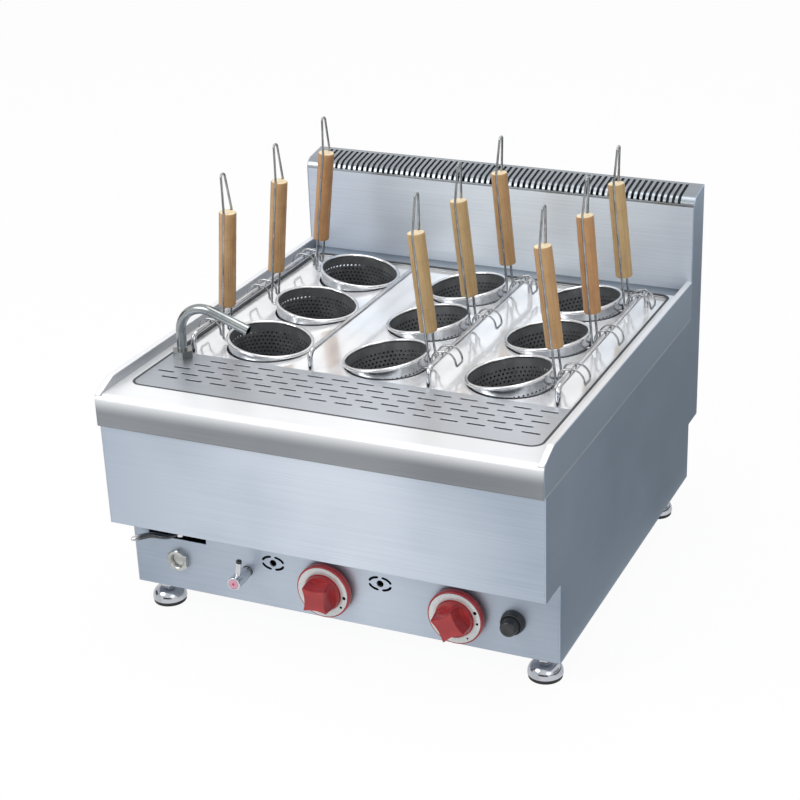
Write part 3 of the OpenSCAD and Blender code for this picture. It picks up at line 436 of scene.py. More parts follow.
def makeCard(name, card):
    s = cardShape
    tone = card["tone"]
    verts, faces = sheetGrid(s["across"], s["up"], lambda i, j: (
        (i / s["across"] - 0.5) * card["wide"], s["ripple"] * math.sin(i),
        (j / s["up"] - 0.5) * card["tall"]))
    f = Finish(name)
    cloth = f.noise(f.spot(), 60.0, 2.0, 0.5)
    f.wear({"Base Color": f.mixed(cloth, (tone,) * 3, (tone * s["paler"],) * 3), "Roughness": 0.9})
    flag = bpy.data.objects.new(name, makeMesh(name, verts, faces, [f.material]))
    scene.collection.objects.link(flag)
    flag.matrix_world = (Matrix.Translation(card["middle"]) @ turn(card["facing"], "Z")
                         @ turn(card.get("lying", 0), "X"))
    flag.visible_camera = False
    flag.visible_diffuse = False
    flag.visible_shadow = False


def seenDirectly(board):
    path = [board.add("ShaderNodeLightPath", out=name)
            for name in ("Is Camera Ray", "Is Glossy Ray", "Is Transmission Ray")]
    return path[0].math("MAXIMUM", path[1]).math("MAXIMUM", path[2])


def setStudio():
    world = bpy.data.worlds.new("studioWorld")
    scene.world = world
    world.use_nodes = True
    b = Board(world.node_tree)
    for node in list(b.tree.nodes):
        b.tree.nodes.remove(node)
    height = b.axes(b.add("ShaderNodeTexCoord", out="Generated"))[2]
    sky = b.mixed(b.eased(height, -0.2, 0.9), (studio["skyLow"],) * 3, (studio["skyHigh"],) * 3)
    soft = b.add("ShaderNodeBackground", None, {"Color": sky})
    plain = b.add("ShaderNodeBackground", None, {"Color": (studio["white"],) * 3})
    both = b.add("ShaderNodeMixShader", None, {0: seenDirectly(b), 1: soft, 2: plain})
    b.add("ShaderNodeOutputWorld", None, {"Surface": both})

    half, steps = studio["floorHalf"], studio["floorSteps"]
    verts, faces = sheetGrid(steps, steps, lambda i, j: (
        2 * half * i / steps - half, 2 * half * j / steps - half, 0))
    f = Finish("paleFloor")
    grain = f.noise(f.spot(), 30.0, 2.0, 0.5)
    f.wear({"Base Color": f.mixed(grain, (0.90, 0.90, 0.90), (0.93, 0.93, 0.93)), "Roughness": 0.9})
    glow = f.add("ShaderNodeEmission", None, {"Color": (1, 1, 1), "Strength": 1.0})
    both = f.add("ShaderNodeMixShader", None, {0: seenDirectly(f) * studio["floorKeep"],
                                              1: Wire(f, f.shader.outputs[0]), 2: glow})
    f.feed(f.tree.nodes["Material Output"].inputs["Surface"], both)
    floor = bpy.data.objects.new("floor", makeMesh("floor", verts, faces, [f.material]))
    scene.collection.objects.link(floor)

    for name, card in cards.items():
        makeCard(name, card)
    for name, lamp in lamps.items():
        data = bpy.data.lights.new(name, "AREA")
        data.shape = "DISK"
        data.size = lamp["size"]
        data.energy = lamp["power"]
        light = bpy.data.objects.new(name, data)
        scene.collection.objects.link(light)
        light.location = lamp["place"]
        aim = Vector(lamp["aim"]) - Vector(lamp["place"])
        light.rotation_euler = aim.to_track_quat("-Z", "Y").to_euler()


setCamera()
setStudio()
print("camera, floor and light set")


# Casing and fixed plates keep their CAD shapes

dress(["front_panel"], steel["front"])
dress(["control_panel"], steel["control"])
dress(["backguard"], steel["guard"])
dress(["right_side_panel"], steel["side"])
dress(["left_side_panel", "rear_panel", "base_pan"], steel["rear"])
dress(["worktop"], steel["worktop"])
dress(["deck_plate"], steel["deck"])
dress(["drainer_plate"], steel["drainer"])
dress(["tank", "flue_duct"], steel["inside"])
dress(["flue_grille"], steel["grille"])
dress(["basket_rails"], metal["rail"])
dress(["filling_spout"], metal["spout"])
dress(["water_line", "drain_valve"], metal["fitting"])
dress(["gas_manifold", "gas_valves", "left_gas_spindle", "right_gas_spindle"], metal["brass"])
dress(["burners"], metal["iron"])
print("casing dressed")


# Painted shadow: a dark strip standing in for the shade in the gap round the plates

gapShadow = {"wide": 556.0, "front": -279.0, "back": 249.0, "round": 16.0, "inset": 0.5, "line": 3.8,
        "low": 331.2, "top": 333.3, "edge": 0.4}


def makeGapShadow():
    s = gapShadow
    half, edge = s["line"] / 2, s["edge"]
    section = ((-half, s["low"]), (half, s["low"]), (half, s["top"] - edge), (half - edge, s["top"]),
               (edge - half, s["top"]), (-half, s["top"] - edge))
    rings = []
    for i, (across, along) in enumerate(((1, 1), (-1, 1), (-1, -1), (1, -1))):
        x = across * (s["wide"] / 2 - s["round"])
        y = s["back"] - s["round"] if along > 0 else s["front"] + s["round"]
        for k in range(9):
            a = math.radians(90 * i + 90 * k / 8)
            ring = []
            for out, height in section:
                reach = s["round"] - s["inset"] + out
                ring.append(((x + math.cos(a) * reach) * mm, (y + math.sin(a) * reach) * mm, height * mm))
            rings.append(ring)
    mesh = makeMesh("wellGapShadow", *bridge(rings, closed=True), [plastic["gapShade"]])
    putPiece("well_gap_shadow", mesh, "casing")


makeGapShadow()


# Rear screws and threaded inlets

rear = {"face": 325.0, "across": (-282, -94, 94, 282), "rows": (140, 452), "edgeRows": (244, 348),
        "head": 4.6, "headTop": 3.3, "washer": 6.4, "washerTop": 0.9}


def makeScrews():
    s = rear
    spots = [(x, z) for x in s["across"] for z in s["rows"]]
    spots += [(x, z) for x in (s["across"][0], s["across"][-1]) for z in s["edgeRows"]]
    hexagon = sixSided([(s["head"], s["washerTop"]), (s["head"], s["headTop"] - 0.6),
                        (s["head"] * 0.9, s["headTop"])])
    disc = lathe([(0, 0.0), (s["washer"], 0.0), (s["washer"], s["washerTop"] - 0.3),
                  (s["washer"] - 0.4, s["washerTop"]), (0, s["washerTop"])], 32)
    head = makeMesh("screwHead", *hexagon, [metal["chrome"]], sharp=25)
    washer = makeMesh("screwWasher", *disc, [metal["chrome"]])
    for i, (x, z) in enumerate(spots):
        place = shift(x, s["face"], z) @ turn(-90, "X")
        putPiece(f"rear_screw_{i + 1}", head, "casing", place)
        putPiece(f"rear_washer_{i + 1}", washer, "casing", place)


inlets = {"gas": {"x": 272, "z": 83, "slot": "brass", "metal": "brass"},
          "water": {"x": -166, "z": 84, "slot": "chrome", "metal": "chrome"}}
inletShape = {"face": 283.0, "radius": 10.5, "long": 24.0, "start": 2.0, "firstTurn": 2.4, "plain": 4.0,
              "pitch": 1.8, "thread": 0.8, "root": 0.1, "bore": 7.6, "lip": 1.6}


def makeInlets():
    s = inletShape
    top = s["long"] + s["lip"]
    root, crest = s["radius"] + s["root"], s["radius"] + s["thread"]
    profile = [(s["radius"] + s["root"] / 2, s["start"])]
    for i in range(int((top - s["plain"]) / s["pitch"])):
        low = s["firstTurn"] + i * s["pitch"]
        profile += [(root, low), (crest, low + s["pitch"] / 2)]
    profile += [(root, top - 0.6), (s["radius"] - 0.5, top), (s["bore"] + 0.4, top),
                (s["bore"], top - 0.4), (s["bore"], s["long"] + 0.1)]
    # painted shade: a near black disc closes the bore just under its mouth, standing in for the shade inside
    # the pipe
    dark = [(s["bore"], s["long"] + 0.1), (s["bore"], s["long"] + 0.3), (s["bore"] - 0.6, s["long"] + 0.5),
            (0, s["long"] + 0.5)]
    hollow = makeMesh("inletBoreShade", *lathe(dark, 40), [plastic["rubber"]])
    for name, spot in inlets.items():
        place = shift(spot["x"], s["face"], spot["z"]) @ turn(-90, "X")
        sleeve = makeMesh(name + "Thread", *lathe(profile, 48), [metal[spot["metal"]]], sharp=30)
        putPiece(name + "_inlet_thread", sleeve, "casing", place)
        putPiece(name + "_inlet_hollow", hollow, "casing", place)


makeScrews()
makeInlets()
print("seal and rear fittings made")


# Baskets

columns = {"left": -172, "centre": 0, "right": 172}
rows = {"front": -98, "middle": 39.5, "back": 177}
basketSeat = {"deck": 328.5, "tilt": {"left": (7, 8, 9), "centre": (8, 8, 7), "right": (9, 7, 8)},
              "stand": 2.8, "beadLine": 55.9}
bowlShape = {"bead": 2.5, "top": 55.9, "low": 47.0, "depth": 135.0, "corner": 14.0, "wall": 1.0,
             "smooth": (1.0, 5.0, 9.0), "plain": 12.0, "across": 58, "rows": 20, "hole": 3.1,
             "bottomPitch": 5.6, "bottomRow": 0.866}


def seatBasket(column, row):
    tilt = math.radians(basketSeat["tilt"][column][list(rows).index(row)])
    rise = (basketSeat["stand"] + basketSeat["beadLine"] * math.sin(tilt)) / math.cos(tilt)
    return (shift(columns[column], rows[row], basketSeat["deck"]) @ turn(180 if column == "left" else 0, "Z")
            @ Matrix.Rotation(-tilt, 4, "Y") @ shift(0, 0, rise))


def wallRadius(depth):
    return bowlShape["top"] - (bowlShape["top"] - bowlShape["low"]) * depth / bowlShape["depth"]


def bowlMesh():
    s = bowlShape
    work = bmesh.new()
    around = s["across"] * 2
    foot = s["depth"] - s["corner"]

    def point(angle, depth):
        r = wallRadius(depth)
        return work.verts.new((r * math.cos(angle) * mm, r * math.sin(angle) * mm, -depth * mm))

    def ring(depth):
        return [point(math.tau * i / around, depth) for i in range(around)]

    def skirt(upper, lower):
        for i in range(around):
            j = (i + 1) % around
            work.faces.new((upper[i], lower[i], lower[j], upper[j]))

    upper = ring(s["smooth"][0])
    for depth in (*s["smooth"][1:], s["plain"]):
        lower = ring(depth)
        skirt(upper, lower)
        upper = lower
    high = (foot - s["plain"]) / s["rows"]
    step = math.tau / s["across"]
    for row in range(s["rows"]):
        top = s["plain"] + row * high
        middle = top + high / 2
        lower = ring(top + high)
        offset = row % 2
        sides = [point(step * (i + offset / 2), middle) for i in range(s["across"])]
        wide = s["hole"] / wallRadius(middle)
        for i in range(s["across"]):
            a = (2 * i + offset) % around
            b, c = (a + 1) % around, (a + 2) % around
            rim = [upper[a], sides[i], lower[a], lower[b], lower[c], sides[(i + 1) % s["across"]],
                   upper[c], upper[b]]
            facing = step * (i + offset / 2 + 0.5)
            hole = [point(facing + wide / 2 * math.cos(t), middle - s["hole"] / 2 * math.sin(t))
                    for t in (math.radians(135 + 45 * k) for k in range(8))]
            for k in range(8):
                n = (k + 1) % 8
                work.faces.new((rim[k], rim[n], hole[n], hole[k]))
        upper = lower
    centre = wallRadius(foot) - s["corner"]
    for k in range(1, 6):
        bend = math.radians(18 * k)
        r = (centre + s["corner"] * math.cos(bend)) * mm
        z = -(foot + s["corner"] * math.sin(bend)) * mm
        turns = (math.tau * i / around for i in range(around))
        lower = [work.verts.new((r * math.cos(a), r * math.sin(a), z)) for a in turns]
        skirt(upper, lower)
        upper = lower
    edges = [work.edges.get((upper[i], upper[(i + 1) % around])) for i in range(around)]
    span = int(centre / s["bottomPitch"]) + 2
    for i in range(-span, span + 1):
        for j in range(-span, span + 1):
            x, y = s["bottomPitch"] * (i + j / 2), s["bottomPitch"] * j * s["bottomRow"]
            if math.hypot(x, y) > centre - s["hole"]:
                continue
            loop = []
            for k in range(8):
                t = math.tau * k / 8
                loop.append(work.verts.new(((x + s["hole"] / 2 * math.cos(t)) * mm,
                                            (y + s["hole"] / 2 * math.sin(t)) * mm, -s["depth"] * mm)))
            edges += [work.edges.new((loop[k], loop[(k + 1) % 8])) for k in range(8)]
    bmesh.ops.triangle_fill(work, use_beauty=True, edges=edges, normal=(0, 0, -1))
    bmesh.ops.recalc_face_normals(work, faces=work.faces)
    work.faces.ensure_lookup_table()
    first = work.faces[0]
    if first.normal.dot(Vector((*first.calc_center_median().xy, 0))) < 0:
        bmesh.ops.reverse_faces(work, faces=work.faces)
    skin = bpy.data.meshes.new("bowlSkin")
    work.to_mesh(skin)
    work.free()
    skin.materials.append(metal["bowlOut"])
    skin.materials.append(metal["bowlIn"])
    pattern = bpy.data.objects.new("bowlPattern", skin)
    scene.collection.objects.link(pattern)
    wall = pattern.modifiers.new("wall", "SOLIDIFY")
    wall.thickness = s["wall"] * mm
    wall.offset = -1
    wall.material_offset = 1
    wall.material_offset_rim = 1
    mesh = bpy.data.meshes.new_from_object(pattern.evaluated_get(bpy.context.evaluated_depsgraph_get()))
    bpy.data.objects.remove(pattern)
    mesh.name = "basketBowl"
    mesh.shade_smooth()
    mesh.set_sharp_from_angle(angle=math.radians(40))
    return mesh


def beadMesh():
    s = bowlShape
    around, small = 96, 14
    rings = []
    for i in range(around):
        a = math.tau * i / around
        ring = []
        for k in range(small):
            b = math.tau * k / small
            r = s["top"] + s["bead"] * math.cos(b)
            ring.append((r * math.cos(a) * mm, r * math.sin(a) * mm, s["bead"] * math.sin(b) * mm))
        rings.append(ring)
    return makeMesh("basketBead", *bridge(rings, closed=True), [metal["bead"]], sharp=80)


gripShape = {"reach": 65.5, "lean": 2.0, "low": 33.0, "long": 132.0, "wide": 23.0, "grooveLine": 10.43,
             "groove": 1.85, "round": 2.2, "knots": (38.0, 96.0), "knotWide": 2.6, "swell": 0.012,
             "waist": 0.006, "endTone": (0.83, 0.68, 0.44)}
bamboo = {
    "golden": {"pale": (0.50, 0.340, 0.155), "dark": (0.38, 0.240, 0.100), "line": (0.22, 0.115, 0.035)},
    "tan": {"pale": (0.49, 0.290, 0.125), "dark": (0.36, 0.200, 0.080), "line": (0.21, 0.105, 0.035)},
    "ruddy": {"pale": (0.48, 0.255, 0.105), "dark": (0.35, 0.170, 0.065), "line": (0.20, 0.090, 0.032)},
}


def bambooFinish(name, look):
    f = Finish(name)
    s = gripShape
    half = s["long"] / 2
    spot = f.spot()
    z = f.axes(spot)[2]
    fibre = f.noise(f.stretched(spot, (420, 420, 9)), 1.0, 4.0, 0.65)
    broad = f.noise(f.stretched(spot, (90, 90, 4)), 1.0, 2.0, 0.5)
    blotch = f.noise(spot, 45.0, 3.0, 0.6)
    colour = f.mixed(f.eased(broad * 0.6 + blotch * 0.4, 0.35, 0.65), look["dark"], look["pale"])
    colour = f.mixed(f.eased(fibre, 0.48, 0.74, 0.0, 0.7), colour, look["line"])
    for knot in s["knots"]:
        near = f.eased(abs(z - knot * mm), 0.0004, 0.0016, 0.10, 0.0)
        colour = f.mixed(near, colour, look["line"])
    cut = f.eased(abs(z - half * mm), (half - 1.0) * mm, (half - 0.3) * mm)
    colour = f.mixed(cut, colour, s["endTone"])
    return f.wear({"Base Color": colour, "Roughness": 0.46 + (fibre - 0.5) * 0.25,
                   "Coat Weight": 0.12 + blotch * 0.1,
                   "Normal": f.relief(fibre * 0.7 + broad * 0.3, 0.25, 0.0006)})


def gripMesh(name, finish):
    s = gripShape
    radius, line, groove = s["wide"] / 2, s["grooveLine"], s["groove"]
    reach = math.acos((radius ** 2 + line ** 2 - groove ** 2) / (2 * radius * line))
    outline = []
    for side in (1, -1):
        for i in range(17):
            a = -math.pi / 2 + reach + (math.pi - 2 * reach) * i / 16
            outline.append((side * radius * math.cos(a), side * radius * math.sin(a)))
        edge = Vector((radius * math.sin(reach), radius * math.cos(reach) - line))
        start = math.atan2(edge.y, edge.x)
        for i in range(1, 8):
            a = start - (math.pi + 2 * start) * i / 8
            outline.append((side * groove * math.cos(a), side * (line + groove * math.sin(a))))
    levels = []
    for i in range(6):
        t = math.radians(18 * i)
        levels.append((s["round"] * (1 - math.sin(t)), 1 - s["round"] / radius * (1 - math.cos(t))))
    levels.sort()
    for i in range(1, 40):
        z = s["round"] + (s["long"] - 2 * s["round"]) * i / 40
        swell = sum(math.exp(-((z - knot) / s["knotWide"]) ** 2) for knot in s["knots"])
        levels.append((z, 1 + s["swell"] * swell - s["waist"] * math.sin(math.pi * z / s["long"])))
    levels += [(s["long"] - z, k) for z, k in levels[5::-1]]
    rings = [[(x * k * mm, y * k * mm, z * mm) for x, y in outline] for z, k in levels]
    return makeMesh(name, *bridge(rings, caps=True), [finish], sharp=40)


gripKind = {"left": ("tan", "tan", "ruddy"), "centre": ("golden", "golden", "tan"),
            "right": ("tan", "ruddy", "golden")}
gripMeshes = {kind: gripMesh("grip_" + kind, bambooFinish("bamboo_" + kind, look))
              for kind, look in bamboo.items()}
bowl, bead = bowlMesh(), beadMesh()
upright = (shift(gripShape["reach"], 0, 0) @ turn(gripShape["lean"], "Y")
           @ shift(0, 0, gripShape["low"]))
for column in columns:
    for place, row in enumerate(rows):
        body = f"{column}_{row}_basket"
        seat = seatBasket(column, row)
        putPiece(body + "_shell", bowl, body, seat, [f"{column}_{row}_bowl"])
        putPiece(body + "_bead", bead, body, seat)
        putPiece(body + "_bamboo", gripMeshes[gripKind[column][place]], body, seat @ upright,
                 [f"{column}_{row}_grip"])
        dress([f"{column}_{row}_handle"], metal["wire"])
print("baskets made")


# Knobs

panelFace = -269.0
knobs = {"left": {"x": -16, "turn": 91}, "right": {"x": 166, "turn": 121}}
knobShape = {"z": 83, "skirt": 37.0, "seat": 5.0, "face": 14.0, "collar": 24.8, "crown": 22.4, "tall": 25.0,
             "low": 6.5, "side": 16.2, "hollow": 3.0, "flank": 3.6, "wallEnd": 0.8, "topEnd": 0.86,
             "round": 0.9, "ring": (25.8, 34.6), "dotLine": 30.4, "dotRise": 0.33,
             "dots": ((-96, 2.3), (-125, 1.7), (-177, 1.2))}


def knobFinish():
    f = Finish("knobRed")
    spot = f.spot()
    grain = f.noise(spot, 800.0, 3.0, 0.6)
    broad = f.noise(spot, 40.0, 2.0, 0.5)
    colour = f.mixed(f.eased(broad, 0.3, 0.7), (0.30, 0.016, 0.020), (0.40, 0.026, 0.030))
    return f.wear({"Base Color": colour, "Roughness": 0.34 + (grain - 0.5) * 0.18,
                   "Coat Weight": 0.1 + broad * 0.1, "Normal": f.relief(grain, 0.10, 0.0002)})


def ringFinish():
    f = Finish("knobRing")
    spot = f.spot()
    fine = f.noise(f.stretched(spot, (500, 500, 500)), 1.0, 2.0, 0.5)
    colour = f.mixed(f.eased(fine, 0.3, 0.7), (0.55, 0.57, 0.57), (0.66, 0.68, 0.68))
    return f.wear({"Base Color": colour, "Roughness": 0.32 + (fine - 0.5) * 0.2, "Metallic": 0.35,
                   "Normal": f.relief(fine, 0.05, 0.0001)})


def knobMesh(finish):
    s = knobShape
    steps, wall, inner = 200, 7, 44
    skirt, face = s["skirt"], s["face"]
    angles = [math.tau * i / steps for i in range(steps)]
    outer = [(skirt - 1.0, s["seat"]), (skirt, s["seat"] + 1.0), (skirt, face - 3.0)]
    outer += rounded((skirt, face - 3), (skirt, face), (skirt - 4, face), 2.4)
    outer += [(s["ring"][1] + 0.3, face), (s["ring"][0], face), (s["collar"] + 0.6, face)]

    def swing(r, a):
        return r * math.sin(-a), r * math.cos(a)

    def raised(x, y):
        # height of the moulded grip over the face: a square boss with four hollow sides
        near, far = sorted((abs(x), abs(y)))
        edge = s["side"] - s["hollow"] * (1 - (near / s["side"]) ** 2)
        t = min(max((far - edge) / s["flank"], 0), 1)
        return s["low"] + (s["tall"] - s["low"]) * (1 - t * t * (3 - 2 * t))

    rings = [[(*swing(r, a), h) for a in angles] for r, h in outer]
    for k in range(wall + 1):
        t = k / wall
        ring = []
        for a in angles:
            top = raised(*swing(s["crown"], a))
            edge = s["collar"] - (s["collar"] - s["crown"]) * (top / s["tall"])
            r = s["collar"] + (edge - s["collar"]) * min(t / s["wallEnd"], 1)
            if t > s["wallEnd"]:
                r = edge - s["round"] * (t - s["wallEnd"]) / (1 - s["wallEnd"])
            ring.append((*swing(r, a), face + top * min(t / s["topEnd"], 1)))
        rings.append(ring)
    crown = rings[-1]
    for k in range(1, inner):
        ring = []
        for a, (x, y, h) in zip(angles, crown):
            spot = swing(math.hypot(x, y) * (1 - k / inner), a)
            ring.append((*spot, face + raised(*spot)))
        rings.append(ring)
    rings = [[(x * mm, y * mm, z * mm) for x, y, z in ring] for ring in rings]
    return makeMesh("gasKnob", *bridge(rings, caps=True), [finish], sharp=42)


def ringMesh(finish):
    inner, outer = knobShape["ring"]
    band = [(inner, 0.0), (inner, 0.25), (inner + 0.2, 0.35), (outer - 0.2, 0.35), (outer, 0.25),
            (outer, 0.0)]
    return makeMesh("knobRing", *lathe(band, 96), [finish])


def dotMesh(radius):
    disc = [(radius, 0.0), (radius, 0.18), (radius - 0.2, 0.25), (0, 0.25)]
    return makeMesh("knobDot", *lathe(disc, 24), [plastic["printInk"]])


knobBody, knobRing = knobMesh(knobFinish()), ringMesh(ringFinish())
for name, spot in knobs.items():
    body = name + "_knob"
    axis = shift(spot["x"], panelFace, knobShape["z"]) @ turn(90, "X") @ turn(spot["turn"], "Z")
    putPiece(body + "_moulding", knobBody, body, axis, [name + "_gas_knob"])
    putPiece(body + "_ring", knobRing, body, axis @ shift(0, 0, knobShape["face"]))
    for i, (angle, radius) in enumerate(knobShape["dots"]):
        a = math.radians(angle)
        at = (knobShape["dotLine"] * math.cos(a), knobShape["dotLine"] * math.sin(a))
        putPiece(f"{body}_dot_{i + 1}", dotMesh(radius), body,
                 axis @ shift(*at, knobShape["face"] + knobShape["dotRise"]))
print("knobs made")


# Printed eye round each sight hole

sightMark = {"holes": (-93, 59), "z": 103, "half": 15.5, "narrow": 0.97, "rise": 9.0, "bow": 0.9,
             "line": 3.3, "taper": (0.45, 0.85), "thick": 0.12, "gap": (0.10, 0.90), "ring": (4.05, 4.8)}


def dashMesh(name, sideways, upward):
    s = sightMark
    start, end = s["gap"]
    last = 14
    curve = []
    for i in range(last + 1):
        a = math.radians(90 * (start + (end - start) * i / last))
        curve.append(Vector((sideways * s["half"] * math.sin(a) * s["narrow"],
                             upward * (s["rise"] * math.cos(a) ** s["bow"]))))
    top, low = [], []
    for i, p in enumerate(curve):
        ahead = (curve[min(i + 1, last)] - curve[max(i - 1, 0)]).normalized()
        across = Vector((-ahead.y, ahead.x)) * s["line"] / 2
        soft = (*s["taper"], 1.0)[min(i, last - i, 2)]
        top.append(p + across * soft)
        low.append(p - across * soft)
    verts, faces = [], []
    for height in (0.0, s["thick"]):
        verts += [(p.x * mm, p.y * mm, height * mm) for p in top + low]
    n, m = len(curve), 2 * len(curve)
    for i in range(n - 1):
        faces.append((m + i, m + i + 1, m + n + i + 1, m + n + i))
        faces.append((i, i + 1, m + i + 1, m + i))
        faces.append((n + i, n + i + 1, m + n + i + 1, m + n + i))
    faces += [(0, n, m + n, m), (n - 1, m - 1, m + m - 1, m + n - 1)]
    return makeMesh(name, verts, faces, [plastic["printInk"]])


def sightRingMesh():
    (inner, outer), thick = sightMark["ring"], sightMark["thick"]
    band = [(inner, 0), (inner, thick), (outer, thick), (outer, 0)]
    return makeMesh("sightRing", *lathe(band, 40), [plastic["printInk"]])


sightRing = sightRingMesh()
for i, x in enumerate(sightMark["holes"]):
    face = shift(x, panelFace, sightMark["z"]) @ turn(90, "X")
    putPiece(f"sight_ring_{i + 1}", sightRing, "casing", face)
    for j, (sideways, upward) in enumerate(((-1, 1), (1, 1), (-1, -1), (1, -1))):
        putPiece(f"sight_dash_{i + 1}_{j + 1}", dashMesh(f"sightDash{j + 1}", sideways, upward), "casing",
                 face)
print("sight marks made")


# Igniter

igniter = {"x": 239, "z": 86, "bezel": 16.0, "thick": 10.0, "floor": 0.4, "neck": 9.0, "inside": 34.0,
           "button": 12.2, "gap": 0.25, "start": 6.2, "end": 23.0}


def makeIgniter():
    g = igniter
    thick, inside, button, end = g["thick"], -g["inside"], g["button"], g["end"]
    axis = shift(g["x"], panelFace, g["z"]) @ turn(90, "X")
    bezel = [(0, inside), (g["neck"] - 1, inside), (g["neck"], inside + 1), (g["neck"], 0.0),
             (g["bezel"], 0.0), (g["bezel"], 2.0)]
    bezel += rounded((g["bezel"], 2.0), (g["bezel"] - 1.6, thick), (button + 1, thick), 1.0)
    bezel += [(button + 0.9, thick), (button + g["gap"], thick - 0.6), (button + g["gap"], g["floor"]),
              (0, g["floor"])]
    bezelMesh = makeMesh("igniterBezel", *lathe(bezel, 64), [plastic["blackPlastic"]])
    putPiece("igniter_bezel", bezelMesh, "casing", axis, ["igniter_body"])
    cap = [(0, g["start"]), (button, g["start"]), (button, 9.0), (button - 0.5, 13.0)]
    cap += rounded((button - 0.5, 13.0), (button - 2.0, end), (3.0, end), 3.6)
    cap += [(6.0, end - 0.05), (5.0, end - 0.5), (0, end - 0.7)]
    capMesh = makeMesh("igniterCap", *lathe(cap, 64), [plastic["blackPlastic"]])
    putPiece("igniter_cap", capMesh, "igniter_push", axis, ["igniter_button"])


makeIgniter()


# Drain outlet

drainNut = {"x": -234, "z": 82, "flats": 28.0, "thick": 7.0, "bore": 9.5, "deep": 6.6, "pitch": 2.2,
            "ridge": 0.7, "firstTurn": 1.4, "mouth": 0.9, "chamfer": 1.5, "trim": (1.08, 1.01)}


def makeDrainNut():
    g = drainNut
    steps = 72
    half, top, bore = g["flats"] / 2, g["thick"], g["bore"]
    sixth = math.pi / 6

    def loop(height, reach):
        ring = []
        for i in range(steps):
            a = math.tau * i / steps
            r = reach(half / math.cos((a + sixth) % (2 * sixth) - sixth))
            ring.append((r * math.cos(a) * mm, r * math.sin(a) * mm, height * mm))
        return ring

    def trimmed(share):
        return lambda r: min(r, half * share)

    rings = [loop(0.0, lambda r: bore), loop(0.0, lambda r: r), loop(top - g["chamfer"], lambda r: r),
             loop(top - g["chamfer"] / 2, trimmed(g["trim"][0])), loop(top, trimmed(g["trim"][1])),
             loop(top, lambda r: bore + g["mouth"]), loop(top - g["mouth"], lambda r: bore)]
    for i in range(int(g["deep"] / g["pitch"])):
        low = top - g["firstTurn"] - i * g["pitch"]
        rings += [loop(low, lambda r: bore), loop(low - g["pitch"] / 2, lambda r: bore - g["ridge"])]
    verts, faces = bridge(rings)
    faces.append(tuple(range(len(verts) - steps, len(verts))))
    mesh = makeMesh("drainNut", verts, faces, [metal["outlet"]], sharp=30)
    axis = shift(g["x"], panelFace, g["z"]) @ turn(90, "X")
    putPiece("drain_nut", mesh, "casing", axis, ["drain_outlet"])


makeDrainNut()


# Drain lever, tap and feet

lever = {"pivot": (-234, -259, 115.5), "hub": 8.0, "bore": 3.6, "thick": 5.0, "edge": 0.8, "soften": 0.55,
         "path": ((0, 0, 0), (-6, -8.5, 0), (-11.5, -16.0, 0), (-16, -16.6, 0), (-25, -16.5, 0),
                  (-34, -16.6, -0.2), (-40, -18.4, -1.2), (-46, -21.4, -2.6), (-52, -24.6, -4.0),
                  (-58, -27.4, -5.2), (-60.4, -28.4, -5.6)),
         "wide": (8, 8, 8, 8.4, 9, 9, 9.4, 9.8, 10.2, 9.4, 5),
         "tall": (5, 5, 5, 5.6, 7, 7.4, 7.4, 7.2, 7, 6, 3)}


def makeLever():
    path = [Vector(p) for p in lever["path"]]
    rings = []
    for i, point in enumerate(path):
        w, t = lever["wide"][i] / 2, lever["tall"][i] / 2
        c = min(w, t) * lever["soften"]
        section = [(-w, -t + c), (-w + c, -t), (w - c, -t), (w, -t + c),
                   (w, t - c), (w - c, t), (-w + c, t), (-w, t - c)]
        ahead = (path[min(i + 1, len(path) - 1)] - path[max(i - 1, 0)]).normalized()
        side = ahead.cross(Vector((0, 0, 1))).normalized()
        top = side.cross(ahead)
        rings.append([tuple((point + side * s + top * u) * mm) for s, u in section])
    mesh = makeMesh("leverBar", *bridge(rings, caps=True), [metal["lever"]], sharp=60)
    bar = putPiece("drain_lever_bar", mesh, "lever", shift(*lever["pivot"]), ["drain_lever"])
    soft = bar.modifiers.new("soft", "SUBSURF")
    soft.levels = soft.render_levels = 2
    half, hub, bore, edge = lever["thick"] / 2, lever["hub"], lever["bore"], lever["edge"]
    ring = [(bore, -half), (bore, half), (hub - edge, half), (hub, half - edge), (hub, -half + edge),
            (hub - edge, -half), (bore, -half)]
    hubMesh = makeMesh("leverHub", *lathe(ring, 40), [metal["chrome"]])
    putPiece("drain_lever_hub", hubMesh, "lever", shift(*lever["pivot"]))


makeLever()

tap = {"x": -132, "z": 84, "radius": 9.0, "start": 4.5, "end": 37.5, "bore": 3.1, "index": 6.6,
       "recess": 0.5, "pinAt": 27.0, "lean": 9.0, "pin": 3.9, "pinEnd": 27.4, "pinTop": 31.0}


def indexFinish():
    f = Finish("tapIndex")
    spot = f.spot()
    x, y = f.axes(spot)[:2]
    away = (x * x + y * y) ** 0.5
    grain = f.noise(spot, 900.0, 2.0, 0.5)
    colour = f.mixed(f.eased(away, 0.0014, 0.0024), (0.30, 0.02, 0.06), (0.60, 0.29, 0.38))
    colour = f.mixed(grain * 0.2, colour, (0.72, 0.42, 0.50))
    return f.wear({"Base Color": colour, "Roughness": 0.3 + grain * 0.1})


